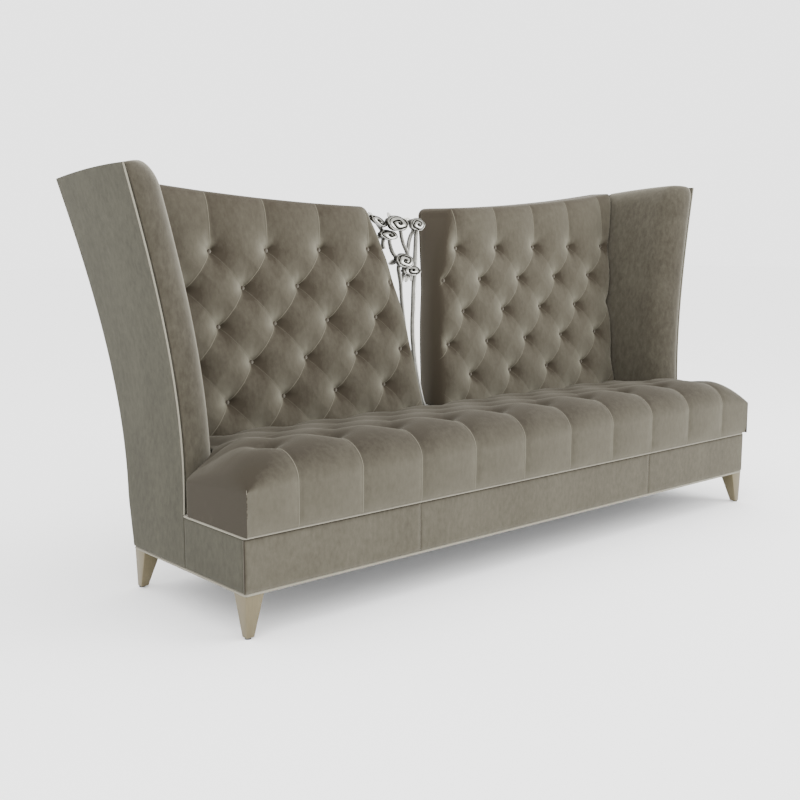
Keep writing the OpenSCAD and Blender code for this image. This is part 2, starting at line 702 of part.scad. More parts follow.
function wing_hump(u, y) = wing_crown * sin(180 * clamp((u - side_t) / (1.25 * (wing_t - side_t)), 0, 1))
    * (1 - 0.7 * clamp((y - wing_y) / (pad_back_y(wing_h) - wing_y), 0, 1));

// Above the frame a section closes in over it by the angle a, 0 at the frame and 90 at the top
function wing_cap(p, i, a) = let (closed = 1 - cos(a), share = (p[0] - side_t) / (wing_t - side_t),
        u = p[0] - wing_roll * share * closed,
        front = clamp((wing_front(wing_h) + wing_roll - p[1]) / wing_roll, 0, 1),
        y = p[1] + (i == 0 ? 0 : wing_lip * front * closed),
        z = lerp(wing_frame_top + 2 * slack, wing_top(y) + wing_hump(u, y), sin(a)))
    [wing_x(z) - u, y, z];
function wing_place(p, z) = [wing_x(z) - p[0], p[1], z];

module wing_pad() {
    n = wing_chain;
    top = wing_frame_top + 2 * slack;
    low = concat(steps(felt_top + slack, wing_frame_top + slack, wing_levels));
    rings = concat(
        [for (z = low) concat([for (i = [0:n]) wing_place(wing_show(z, i), z)],
            [for (i = [n:-1:0]) wing_place(wing_inner(z, i), z)])],
        [for (a = [0, 30, 60, 90]) concat([for (i = [0:n]) wing_cap(wing_show(top, i), i, a)],
            [for (i = [n:-1:0]) wing_cap(wing_outer(top, i), 0, a)])]);
    last = rings[len(rings) - 1];
    middle = [for (i = [0:n]) let (a = last[i], b = last[2 * n + 1 - i], y = (a[1] + b[1]) / 2,
        u = wing_x(wing_h) - (a[0] + b[0]) / 2) [(a[0] + b[0]) / 2, y, wing_top(y) + wing_hump(u, y)]];
    around = 2 * n + 2;
    base = (len(rings) - 1) * around;
    mid = len(rings) * around;
    far = base + 2 * n + 1;
    place() color(velvet) polyhedron(concat([for (ring = rings) each ring], middle), concat(
        [for (k = [0:len(rings) - 2], e = [0:around - 1])
            let (a = k * around + e, b = k * around + (e + 1) % around) each [[a, b, b + around],
                [a, b + around, a + around]]],
        [for (i = [0:n - 1]) each [[i, 2 * n + 1 - i, 2 * n - i], [i, 2 * n - i, i + 1]]],
        [for (i = [0:n - 1]) each [[base + i, base + i + 1, mid + i + 1], [base + i, mid + i + 1, mid + i],
            [mid + i, mid + i + 1, far - i - 1], [mid + i, far - i - 1, far - i]]],
        [[base + n, far - n, mid + n], [far, base, mid]]), convexity = 6);
}

module wing_pad_left() { left_side() wing_pad(); }
module wing_pad_right() { wing_pad(); }

module wing_side() {
    tops = steps(wing_front(wing_h) + slack, rear_y(wing_back_h), 6);
    place() color(velvet_outside) intersection() {
        along_y(0, total_back + over) wing_strip(casing_low, wing_h + over, 0, side_t);
        along_x(0, 2 * half_w) polygon(concat([[rear_y(casing_low), casing_low], [wing_y + slack, casing_low],
            [wing_y + slack, band_top]], [for (y = tops) [y, wing_top(y)]]));
    }
}

module wing_side_left() { left_side() wing_side(); }
module wing_side_right() { wing_side(); }

// Bands round the base and the welts
band_low = leg_h + 2 * welt_r + slack;
band_high = band_top - welt_r - slack;

module front_band(x0, x1) {
    place() color(velvet) translate([x0, 0, band_low]) cube([x1 - x0, band_t, band_high - band_low]);
}

module front_band_left() { front_band(-half_w, -band_seam_x - slack / 2); }
module front_band_centre() { front_band(-band_seam_x + slack / 2, band_seam_x - slack / 2); }
module front_band_right() { front_band(band_seam_x + slack / 2, half_w); }

module side_band() {
    place() color(velvet_outside) translate([half_w - side_t, band_t + slack, band_low])
        cube([side_t, wing_y - band_t - slack, band_high - band_low]);
}

module side_band_left() { left_side() side_band(); }
module side_band_right() { side_band(); }

welt_sides = 8;
welt_turns = [for (e = [0:welt_sides - 1]) 360 * e / welt_sides];

module base_welt() {
    place() color(welt_cord) skin([for (c = [[-1, -1, welt_r], [1, -1, welt_r], [1, 1, base_d - welt_r],
            [-1, 1, base_d - welt_r]]) [for (a = welt_turns)
        [c[0] * (half_w - welt_r + welt_r * cos(a)), c[2] + c[1] * welt_r * cos(a),
            leg_h + welt_r + welt_r * sin(a)]]],
        loop = true);
}

module seat_welt() {
    place() color(welt_cord) skin([
        for (c = [[-1, 0, wing_y], [-1, -1, welt_r], [1, -1, welt_r], [1, 0, wing_y]])
        [for (a = welt_turns) [c[0] * (half_w - welt_r + welt_r * cos(a)), c[2] + c[1] * welt_r * cos(a),
            band_top + welt_r * sin(a)]]]);
}

module wing_welt() {
    place() color(welt_cord) skin([for (z = steps(band_top + welt_r + slack, wing_h, 10))
        [for (a = welt_turns)
            [wing_x(z) - welt_r + welt_r * cos(a), wing_front(z) - welt_r - welt_r * sin(a), z]]]);
}

module wing_welt_left() { left_side() wing_welt(); }
module wing_welt_right() { wing_welt(); }

// Ornament: stems, roses and leaves on a plane that leans with the outside back. Places are shares of the
// gap's half width and height, sizes are shares of the largest rose, and the last share is how far a piece
// comes forward.
gap_rise = back_mid_h - gap_foot_h;
plate_w = gap_foot - 2 * slack;
foot_z = gap_foot_h + bracket_t + 2 * slack;
rose_layer = stem_r + slack;
main_w_share = 1.15;
side_w_share = 0.75;
main_stem = [[0.375, 0.91, 0], [0.364, 0.88, 0], [0.312, 0.81, 0], [0.25, 0.724, 0], [0.192, 0.651, 0],
    [0.13, 0.565, 0], [0.091, 0.501, 0], [0.046, 0.44, 0], [0.008, 0.369, 0], [-0.003, 0.315, 0],
    [-0.013, 0.25, 0], [-0.005, 0.18, 0], [0.017, 0.103, 0], [0.05, 0.04, 0], [0.077, 0, 0]];
left_stem = [[-0.22, 0.735, 0.985], [-0.25, 0.715, 0.985], [-0.255, 0.695, 0.85], [-0.21, 0.66, 0.5],
    [-0.17, 0.62, 0.2], [-0.16, 0.564, 0], [-0.165, 0.52, 0], [-0.163, 0.407, 0], [-0.134, 0.271, 0],
    [-0.086, 0.136, 0], [-0.057, 0, 0]];
side_stems = [
    [[-0.33, 0.872, 0], [-0.305, 0.845, 0], [-0.298, 0.8185, 0], [-0.306, 0.796, 0.2], [-0.314, 0.775, 0.6],
        [-0.29, 0.755, 0.985], [-0.22, 0.745, 0.985]],
    [[-0.13, 0.9, 0.985], [-0.116, 0.877, 0.985], [-0.108, 0.853, 0.95], [-0.07, 0.818, 0.85],
        [-0.025, 0.789, 0.85], [-0.02, 0.765, 0.985], [-0.08, 0.748, 0.985]],
    [[0.3, 0.905, 0], [0.278, 0.883, 0], [0.209, 0.864, 0.1], [0.139, 0.841, 0.3], [0.073, 0.814, 0.55],
        [0.01, 0.785, 0.85], [-0.01, 0.765, 0.985], [-0.08, 0.75, 0.985]],
    [[-0.03, 0.68, 0], [-0.06, 0.668, 0], [-0.1, 0.648, 0], [-0.135, 0.625, 0], [-0.16, 0.59, 0]],
    [[-0.4, 0.872, 0], [-0.48, 0.9, 0], [-0.56, 0.93, 0]],
    [[-0.42, 0.865, 0], [-0.452, 0.836, 0], [-0.462, 0.815, 0], [-0.445, 0.797, 0]]];

function stem_point(s) = let (z = max(gap_foot_h + s[1] * gap_rise, foot_z))
    [s[0] * gap_top, ornament_y(z) - s[2] * rose_t, z];
// Smooth path through the points of a table, two steps from each point to the next
function stem_path(t) = let (p = [for (s = t) stem_point(s)], n = len(p) - 1) concat(
    [for (i = [0:n - 1]) each [p[i], (9 * (p[i] + p[i + 1]) - p[max(i - 1, 0)] - p[min(i + 2, n)]) / 16]],
    [p[n]]);
function unit(v) = v / norm(v);

stem_sides = 8;
module stem(table, w) {
    path = stem_path(table);
    n = len(path) - 1;
    skin([for (i = [0:n]) let (
            along = table[len(table) - 1][1] == 0 && i == n ? [0, 0, -1]
                : unit(path[min(i + 1, n)] - path[max(i - 1, 0)]),
            back = unit([0, 1, 0] - along[1] * along), side = cross(along, back))
        [for (e = [0:stem_sides - 1]) let (a = 360 * (e + 0.5) / stem_sides)
            path[i] + w * cos(a) * side + stem_r * sin(a) / cos(180 / stem_sides) * back]]);
}

module rose_stems() {
    place() color(silver_leaf) union() {
        stem(main_stem, main_w_share * stem_r);
        stem(left_stem, side_w_share * stem_r);
        for (t = side_stems) stem(t, side_w_share * stem_r);
    }
}

// A rose: rings from its heart to its rim over a spiral of petals, and back to a flat rear
rose_points = 20;
rose_rings = [0.08, 0.24, 0.39, 0.54, 0.69, 0.84, 0.94, 1];
rose_petals = 5;
full_turn = 360;

// Relief of a rose from 0 to 1 at share r of its radius and angle a, with a number of turns of petals
function rose_relief(r, a, turns, phase) = let (s = full_turn * turns * r - a + phase,
        ridge = 1 - pow(abs(cos(s / 2)), 3))
    0.42 + 0.3 * (1 - r * r) + 0.28 * ridge * clamp(5 * r - 0.4, 0, 1) * (1 - 0.35 * r);
function rose_lobe(r, a, phase) = 1
    - 0.1 * clamp(4 * r - 3, 0, 1) * pow(abs(cos(rose_petals * a / 2 + phase)), 4);

// s lists place across and up, half width, half height, tilt, layer, turns and phase
module rose(s) {
    w = s[2] * rose_r;
    h = s[3] * rose_r;
    thick = rose_t * min(1, 0.35 + 0.65 * s[2]);
    centre = [s[0] * gap_top, gap_foot_h + s[1] * gap_rise];
    function on(r, a, up) = let (l = rose_lobe(r, a, s[7]) * r, u = w * l * cos(a), v = h * l * sin(a),
            z = centre[1] + u * sin(s[4]) + v * cos(s[4]))
        [centre[0] + u * cos(s[4]) - v * sin(s[4]), ornament_y(z) - rose_layer - s[5] * rose_t - up, z];
    place() color(silver_leaf) skin(concat(
        [for (r = rose_rings) [for (i = [0:rose_points - 1]) let (a = full_turn * i / rose_points)
            on(r, a, thick * (r < 0.1 ? 0.72 : rose_relief(r, a, s[6], s[7])) * (r == 1 ? 0.7 : 1))]],
        [for (r = [0.94, 0.75]) [for (i = [0:rose_points - 1])
            on(r, full_turn * i / rose_points, r > 0.8 ? 0.15 * thick : 0)]]));
}

module rose_high_left() { rose([-0.581, 0.933, 0.84, 0.31, -29, 0, 1.6, 40]); }
module rose_high_centre() { rose([-0.26, 0.922, 1.1, 0.61, -8, 1, 2, 200]); }
module rose_high_right() { rose([0.322, 0.919, 0.78, 0.52, 0, 0, 2, 90]); }
module rose_tucked() { rose([-0.389, 0.866, 0.92, 0.41, -8, 0, 1.4, 150]); }
module rose_low_left() { rose([-0.187, 0.739, 0.94, 0.56, -8, 1, 2, 20]); }
module rose_low_right() { rose([0.058, 0.687, 0.95, 0.42, -4, 0, 1.6, 300]); }

// Leaves lie flat behind the roses. Each lists its place across and up, direction, length, half width and
// layer.
leaf_t = rose_t / 5;
leaf_step_count = 5;
leaves = [[-0.235, 0.739, 196, 0.9, 0.16, 0.36], [0.22, 0.93, 165, 0.62, 0.22, 0],
    [0.03, 0.67, 240, 0.7, 0.16, 0], [0.1, 0.672, 262, 0.6, 0.14, 0], [-0.5, 0.862, 200, 0.55, 0.15, 0],
    [-0.66, 0.95, 130, 0.5, 0.16, 0], [-0.1, 0.93, 20, 0.6, 0.17, 1], [-0.33, 0.94, 120, 0.62, 0.16, 1]];

module leaf(s) {
    along = [cos(s[2]), sin(s[2])];
    skin([for (k = [0:leaf_step_count]) let (t = k / leaf_step_count,
            w = s[4] * rose_r * sin(180 * lerp(0.12, 0.97, t)),
            far = s[3] * rose_r * t, base = rose_layer - leaf_t - slack + s[5] * rose_t)
        [for (c = [[1, 0.45], [0, 0], [-1, 0.45], [0, 1]]) let (
                x = s[0] * gap_top + along[0] * far + along[1] * w * c[0],
                z = gap_foot_h + s[1] * gap_rise + along[1] * far - along[0] * w * c[0])
            [x, ornament_y(z) - base - leaf_t * c[1], z]]]);
}

module rose_leaves() {
    place() color(silver_leaf) for (s = leaves) leaf(s);
}

// The foot plate stands on the sill at the bottom of the gap
module rose_brackets() {
    place() color(steel) difference() {
        translate([-plate_w, ornament_y(gap_foot_h) - 2 * stem_r, gap_foot_h + slack])
            cube([2 * plate_w, 4 * stem_r, bracket_t]);
        for (x = [-screw_x, screw_x]) translate([x, ornament_y(gap_foot_h), gap_foot_h - over])
            cylinder(r = screw_r + slack / 3, h = 2 * bracket_t + over, $fn = 8);
    }
}

module rose_screws() {
    place() color(steel) for (x = [-screw_x, screw_x]) translate([x, ornament_y(gap_foot_h), 0]) {
        translate([0, 0, gap_foot_h - 2 * casing_t])
            cylinder(r = screw_r, h = 2 * casing_t + bracket_t + slack, $fn = 8);
        translate([0, 0, gap_foot_h + slack + bracket_t])
            cylinder(r = 2 * screw_r, h = bracket_t / 2, $fn = 8);
    }
}

front_rail();
back_rail();
end_rails();
cross_rails();
corner_blocks();
back_frame_left();
back_frame_right();
wing_frame_left();
wing_frame_right();
back_webbing_left();
back_webbing_right();
seat_springs();
spring_clips();
felt_pad();
seat_cushion();
back_pad_left();
back_pad_right();
back_buttons_left();
back_buttons_right();
wing_pad_left();
wing_pad_right();
wing_side_left();
wing_side_right();
outside_back_left();
outside_back_right();
front_band_left();
front_band_centre();
front_band_right();
side_band_left();
side_band_right();
seat_welt();
base_welt();
wing_welt_left();
wing_welt_right();
front_leg_left();
front_leg_right();
back_leg_left();
back_leg_right();
leg_plates();
leg_bolts();
leg_glides();
dust_cover();
rose_stems();
rose_high_left();
rose_high_centre();
rose_high_right();
rose_tucked();
rose_low_left();
rose_low_right();
rose_leaves();
rose_brackets();
rose_screws();
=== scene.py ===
from math import atan2, cos, exp, hypot, pi, radians, sin, sqrt, tan

import bmesh
import bpy
from mathutils import Matrix, Vector, noise


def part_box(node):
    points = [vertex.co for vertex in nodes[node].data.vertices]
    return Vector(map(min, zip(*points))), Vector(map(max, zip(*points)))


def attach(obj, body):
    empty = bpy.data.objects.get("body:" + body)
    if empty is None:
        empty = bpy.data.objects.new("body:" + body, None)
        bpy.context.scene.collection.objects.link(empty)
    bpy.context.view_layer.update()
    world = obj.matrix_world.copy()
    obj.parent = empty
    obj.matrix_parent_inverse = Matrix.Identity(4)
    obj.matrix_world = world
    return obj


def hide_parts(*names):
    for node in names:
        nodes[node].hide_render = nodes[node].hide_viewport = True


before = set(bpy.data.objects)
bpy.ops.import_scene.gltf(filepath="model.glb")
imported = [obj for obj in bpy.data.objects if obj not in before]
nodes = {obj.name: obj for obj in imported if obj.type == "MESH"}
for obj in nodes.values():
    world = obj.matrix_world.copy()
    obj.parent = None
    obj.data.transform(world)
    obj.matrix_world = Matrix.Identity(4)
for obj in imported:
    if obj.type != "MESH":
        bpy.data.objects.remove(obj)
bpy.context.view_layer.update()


# Studio. The camera stands where the photograph was taken from, before a pale floor in a white room,
# with a large soft light at the left, one at the right and one overhead.
def stand(name, data):
    """Puts a new object in the scene."""
    obj = bpy.data.objects.new(name, data)
    bpy.context.scene.collection.objects.link(obj)
    return obj


camera = stand("camera", bpy.data.cameras.new("camera"))
camera.location = (-2.7463, -2.8049, 1.0843)
camera.rotation_euler = (radians(81.403), 0, radians(-41.062))
camera.data.lens = 49.65
camera.data.sensor_width = 36
bpy.context.scene.camera = camera

room = bpy.data.worlds.new("room")
room.use_nodes = True
room.node_tree.nodes["Background"].inputs["Color"].default_value = (1, 1, 1, 1)
room.node_tree.nodes["Background"].inputs["Strength"].default_value = 2.8
bpy.context.scene.world = room


def soft_light(name, place, aim, width, height, watts):
    light = stand(name, bpy.data.lights.new(name, "AREA"))
    light.data.shape = "RECTANGLE"
    light.data.size, light.data.size_y = width, height
    light.data.energy = watts
    light.location = place
    light.rotation_euler = (Vector(aim) - Vector(place)).to_track_quat("-Z", "Y").to_euler()


soft_light("light_left", (-4.2, -2.6, 3.4), (0, 0, 0.6), 2.4, 2.4, 52)
soft_light("light_right", (3.6, -4.2, 2.6), (0, 0, 0.5), 2.6, 2.6, 150)
soft_light("light_above", (0.2, -0.6, 4.4), (0, 0, 0.5), 4.0, 2.4, 110)


def finish(name, roughness, metallic=0, colour=None):
    """A new finish, with its node tree and its shader."""
    material = bpy.data.materials.new(name)
    material.use_nodes = True
    bsdf = material.node_tree.nodes["Principled BSDF"]
    bsdf.inputs["Roughness"].default_value = roughness
    bsdf.inputs["Metallic"].default_value = metallic
    if colour:
        bsdf.inputs["Base Color"].default_value = (*colour, 1)
    return material, material.node_tree, bsdf


floor_paper = finish("floor_paper", 0.9, colour=(0.97, 0.97, 0.97))[0]
bm = bmesh.new()
bmesh.ops.create_grid(bm, x_segments=1, y_segments=1, size=30)
floor_mesh = bpy.data.meshes.new("floor")
bm.to_mesh(floor_mesh)
bm.free()
floor_mesh.materials.append(floor_paper)
stand("floor", floor_mesh)


# Velvet. A dense pile that lies one way, with brushed patches and a fine grain. Its colour holds painted
# shade by facing: paler on faces turned along a given direction and browner on faces turned away from it,
# and an attribute adds painted highlight and shade round the buttons.
def add(tree, kind, values=None, **settings):
    """A node with its settings and inputs. An input is a plain value or another node's output."""
    node = tree.nodes.new(kind)
    for key, value in settings.items():
        setattr(node, key, value)
    for key, value in (values or {}).items():
        if isinstance(value, bpy.types.NodeSocket):
            tree.links.new(value, node.inputs[key])
        else:
            node.inputs[key].default_value = value
    return node


def reckon(tree, operation, *values, use_clamp=False):
    """The result of one step of arithmetic on outputs and plain numbers."""
    step = add(tree, "ShaderNodeMath", dict(enumerate(values)), operation=operation, use_clamp=use_clamp)
    return step.outputs[0]


def blend(tree, share, first, second):
    """A colour at a share of the way from the first to the second."""
    mixed = add(tree, "ShaderNodeMix", {"Factor": share, "A": first, "B": second}, data_type="RGBA")
    return mixed.outputs["Result"]


def effect(name, inputs, outputs):
    """A node group, with the sockets that it is given and those that it gives."""
    group = bpy.data.node_groups.new(name, "ShaderNodeTree")
    for label, kind, value in inputs:
        made = group.interface.new_socket(name=label, in_out="INPUT", socket_type="NodeSocket" + kind)
        made.default_value = value
    for label, kind in outputs:
        group.interface.new_socket(name=label, in_out="OUTPUT", socket_type="NodeSocket" + kind)
    return group, group.nodes.new("NodeGroupInput").outputs, group.nodes.new("NodeGroupOutput").inputs


pile_and_painted_shade, given, result = effect("pile_and_painted_shade", (
    ("Dark", "Color", (0.1, 0.09, 0.07, 1)), ("Pale", "Color", (0.3, 0.28, 0.24, 1)),
    ("Pale facing", "Vector", (0.6, 0, -0.8)), ("Level", "Float", 0.4), ("Turn", "Float", 0.6),
    ("Brushed", "Float", 0.5)),
    (("Color", "Color"), ("Height", "Float")))
where = add(pile_and_painted_shade, "ShaderNodeTexCoord").outputs["Object"]
stretched = add(pile_and_painted_shade, "ShaderNodeMapping", {"Vector": where, "Scale": (1, 1, 0.55)}).outputs[0]
patches = add(pile_and_painted_shade, "ShaderNodeTexNoise", {"Vector": stretched, "Scale": 9, "Detail": 3, "Roughness": 0.6})
streaks = add(pile_and_painted_shade, "ShaderNodeTexNoise", {"Vector": stretched, "Scale": 70, "Detail": 4, "Roughness": 0.65})
pile = add(pile_and_painted_shade, "ShaderNodeTexNoise", {"Vector": where, "Scale": 620, "Detail": 2})
facing = add(pile_and_painted_shade, "ShaderNodeNewGeometry").outputs["Normal"]
# Painted shade by facing: the colour turns paler as the surface faces along the given direction.
facing_dot = add(pile_and_painted_shade, "ShaderNodeVectorMath", {0: facing, 1: given["Pale facing"]}, operation="DOT_PRODUCT")
facing_shade = reckon(pile_and_painted_shade, "MULTIPLY_ADD", facing_dot.outputs["Value"], given["Turn"], given["Level"])
# Painted highlight and painted shade round the buttons of the backs, read from an attribute.
painted_light = add(pile_and_painted_shade, "ShaderNodeAttribute", attribute_name="painted_light").outputs["Fac"]
facing_shade = reckon(pile_and_painted_shade, "ADD", painted_light, facing_shade)
patch_share, patch_middle = 0.6, 0.8
spread = reckon(pile_and_painted_shade, "MULTIPLY_ADD", patches.outputs["Fac"], patch_share, streaks.outputs["Fac"])
spread = reckon(pile_and_painted_shade, "SUBTRACT", spread, patch_middle)
spread = reckon(pile_and_painted_shade, "MULTIPLY_ADD", spread, given["Brushed"], facing_shade, use_clamp=True)
pile_and_painted_shade.links.new(blend(pile_and_painted_shade, spread, given["Dark"], given["Pale"]), result["Color"])
pile_and_painted_shade.links.new(pile.outputs["Fac"], result["Height"])

# Folds and channels of the tufting, drawn on a map whose whole numbers are the folds: a painted highlight
# line along each fold, and a painted shade line beside it. Where "lined" is below zero, painted shade darkens
# a seam.
folds, given, result = effect("folds", (("Width", "Float", 0.01),),
                              (("Painted highlight line", "Float"), ("Painted shade line", "Float")))
tuft_map = add(folds, "ShaderNodeUVMap", uv_map="folds")
parts = add(folds, "ShaderNodeSeparateXYZ", {0: tuft_map.outputs[0]})
dark_shift, rising_pale, rising_dark, seam_shade = 0.9, 0.35, 0.5, 1.6
lines = []
for axis, shift in (("X", 0.0), ("Y", 0.0), ("X", dark_shift), ("Y", dark_shift)):
    near = reckon(folds, "MULTIPLY_ADD", given["Width"], -shift, parts.outputs[axis])
    near = reckon(folds, "ADD", near, 0.5)
    near = reckon(folds, "FRACT", near)
    near = reckon(folds, "SUBTRACT", near, 0.5)
    near = reckon(folds, "ABSOLUTE", near)
    near = add(folds, "ShaderNodeMapRange", {"Value": near, "From Min": 0.0, "From Max": given["Width"],
                                             "To Min": 1.0, "To Max": 0.0}, interpolation_type="SMOOTHSTEP")
    lines.append(near.outputs["Result"])
lined = add(folds, "ShaderNodeAttribute", attribute_name="lined").outputs["Fac"]
highlight_line = reckon(folds, "MULTIPLY", lines[0], rising_pale)
highlight_line = reckon(folds, "MAXIMUM", highlight_line, lines[1])
highlight_line = reckon(folds, "MULTIPLY", highlight_line, lined)
shade_line = reckon(folds, "MULTIPLY", lines[3], rising_dark)
shade_line = reckon(folds, "MAXIMUM", shade_line, lines[2])
shade_line = reckon(folds, "MULTIPLY", shade_line, lined)
shade_line = reckon(folds, "MAXIMUM", shade_line, reckon(folds, "MULTIPLY", lined, -seam_shade))
folds.links.new(highlight_line, result["Painted highlight line"])
folds.links.new(shade_line, result["Painted shade line"])

FOLD_SHADE_TONE, FOLD_SHADE_SHARE = 0.45, 0.5
FOLD_HIGHLIGHT_TONE, FOLD_HIGHLIGHT_SHARE = 1.35, 0.7


def velvet(name, dark, pale, pale_facing=(0.7, 0, -0.5), level=0.40, turn=0.95, brushed=0.42, fold_width=0,
           sheen=0.12):
    """Velvet between two colours, with painted shade by facing. fold_width draws painted highlight and
    shade lines on the folds.
    """
    material, tree, bsdf = finish(name, 0.85)
    cloth = add(tree, "ShaderNodeGroup", {"Dark": (*dark, 1), "Pale": (*pale, 1), "Pale facing": pale_facing, "Level": level,
                                          "Turn": turn, "Brushed": brushed}, node_tree=pile_and_painted_shade)
    colour = cloth.outputs["Color"]
    if fold_width:
        # Painted shade beside each fold and a painted highlight along it.
        creases = add(tree, "ShaderNodeGroup", {"Width": fold_width}, node_tree=folds)
        shadow = reckon(tree, "MULTIPLY", creases.outputs["Painted shade line"], FOLD_SHADE_SHARE)
        colour = blend(tree, shadow, colour, (*[c * FOLD_SHADE_TONE for c in dark], 1))
        light = reckon(tree, "MULTIPLY", creases.outputs["Painted highlight line"], FOLD_HIGHLIGHT_SHARE)
        colour = blend(tree, light, colour, (*[c * FOLD_HIGHLIGHT_TONE for c in pale], 1))
    tree.links.new(colour, bsdf.inputs["Base Color"])
    bump = add(tree, "ShaderNodeBump", {"Strength": 0.35, "Distance": 0.0006,
                                        "Height": cloth.outputs["Height"]})
    tree.links.new(bump.outputs["Normal"], bsdf.inputs["Normal"])
    bsdf.inputs["Specular IOR Level"].default_value = 0.2
    bsdf.inputs["Sheen Weight"].default_value = sheen
    bsdf.inputs["Sheen Roughness"].default_value = 0.42
    bsdf.inputs["Sheen Tint"].default_value = (0.88, 0.84, 0.70, 1)
    return material


# Tufted half backs. Each is a foam pad under velvet, laid in diamonds between buttons that are pulled in
# to the webbing, with channels from the top row over the upper edge. It reclines, and leans out at the gap.
# All lengths are in metres.
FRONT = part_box("front_band_centre")[0].y
HALF_W, BASE_D, LEG_H = 1.197, 0.624, 0.121
BAND_TOP = 0.283
WING_H, WING_BACK_H = 1.275, 1.246
WING_FLARE, WING_T, SIDE_T = 0.124, 0.130, 0.008
GAP_FOOT, GAP_TOP, GAP_FOOT_H = 0.043, 0.209, 0.440
FLARE_CURVE, GAP_CURVE = (0, -0.21, 0.34, 1), (0, 0.15, 0.30, 1)
BACK_MID_H, BACK_END_H, CORNER = 1.177, 1.256, 0.034
BACK_Y, RECLINE, REAR_LEAN = 0.575, radians(10.4), radians(9.45)
BACK_FILL, BACK_CROWN, BACK_RIM = 0.020, 0.041, 0.008
TUFT_X, TUFT_Z, TUFT_TOP_Z = 0.218, 0.1195, 1.027
PILLOW_FULL, PILLOW_SOFT, CREASE_W = 1.12, 0.12, 0.0055
TUFT_FALL, CHANNEL_FALL, CHANNEL_START, CREASE_DEPTH = 0.0026, 0.0075, 0.05, 0.0013
PIT_DEPTH, PIT_R, EYE_DEPTH, EYE_R = 0.0215, 0.046, 0.011, 0.017
PUCKER, PUCKER_R, PUCKER_START = 0.0026, 0.045, 0.012
GAP_ROUND, TOP_ROUND, END_ROUND = 0.078, 0.062, 0.022
RIM_PILLOW, RIM_PILLOW_RISE = 0.005, 0.1
DRAWN_ROWS = ((0.906, 0.025), (0.668, 0.012))
DRAWN_X, DRAWN_REACH = 0.128, 0.085


def lerp(a, b, t):
    return a + (b - a) * t


def clamp(value, low=0.0, high=1.0):
    return min(max(value, low), high)


def quarter(distance, radius):
    """A quarter round: 0 at the edge and 1 from the radius on."""
    return sqrt(max(0, 1 - (1 - clamp(distance / radius)) ** 2))


def bezier(a, b, c, d, t):
    """A smooth curve from a to d, drawn towards b and then c."""
    return a * (1 - t) ** 3 + 3 * b * t * (1 - t) ** 2 + 3 * c * t * t * (1 - t) + d * t ** 3


def wing_x(z):
    """The outer face of a wing, which flares out over the seat."""
    return HALF_W + WING_FLARE * bezier(*FLARE_CURVE, max(0, (z - BAND_TOP) / (WING_H - BAND_TOP)))


def gap_x(z):
    """The side of the gap between the half backs, which widens upwards."""
    up = max(0, (z - GAP_FOOT_H) / (BACK_MID_H - GAP_FOOT_H))
    return GAP_FOOT + (GAP_TOP - GAP_FOOT) * bezier(*GAP_CURVE, up)


def inner_x(z):
    return wing_x(z) - WING_T


def tuft_y(z):
    return BACK_Y + tan(RECLINE) * (z - GAP_FOOT_H)


def rear_y(z):
    return BASE_D + tan(REAR_LEAN) * (z - LEG_H)


def back_top(x):
    """The upper edge of a half back, with its corner at the gap rounded."""
    foot = gap_x(BACK_MID_H - CORNER)
    rise = BACK_MID_H + (BACK_END_H - BACK_MID_H) * (max(x, foot) / inner_x(BACK_END_H)) ** 2
    return rise - CORNER * (1 - quarter(max(0, x - foot), CORNER))


def swell(share):
    """Pillow between two folds, from 0 on a fold to 1 halfway."""
    near = abs(share - round(share))
    full = 4 * near * (1 - near)
    return PILLOW_FULL * full * full / (full + PILLOW_SOFT)


def folded(across, deep, pitch, step, open_share):
    """How full the pillow and how deep the crease is at a place on the diamond map, both from 0 to 1. Past
    the first row, open_share turns the diamonds into channels."""
    p, q = across + deep, across - deep
    pillow = lerp(swell(p) * swell(q), swell(across) if open_share else 0, open_share)
    wide = 1 / hypot(1 / pitch, 1 / (2 * step))
    crease = exp(-abs(p - round(p)) * wide / CREASE_W) + exp(-abs(q - round(q)) * wide / CREASE_W)
    return pillow, min(1, crease)


def tuft_across(x, z):
    """X on the diamond map. The tufts of rows 2 and 4 next to the gap are drawn in from its edge."""
    shift = sum(drawn * max(0, cos(pi * (z - row_z) / (2 * TUFT_Z))) for row_z, drawn in DRAWN_ROWS)
    return x - shift * clamp(1 - abs(x - DRAWN_X) / DRAWN_REACH)


def back_map(x, z):
    """Place on the map whose whole numbers are the two sets of folds."""
    across, deep = tuft_across(x, z) / TUFT_X, (min(z, TUFT_TOP_Z) - TUFT_TOP_Z) / (2 * TUFT_Z)
    return across + deep, across - deep


def from_button(x, z):
    """How far a place lies beside and above the nearest button."""
    p, q = back_map(x, z)
    return (tuft_across(x, z) - TUFT_X * (round(p) + round(q)) / 2,
            z - TUFT_TOP_Z - TUFT_Z * (round(p) - round(q)))


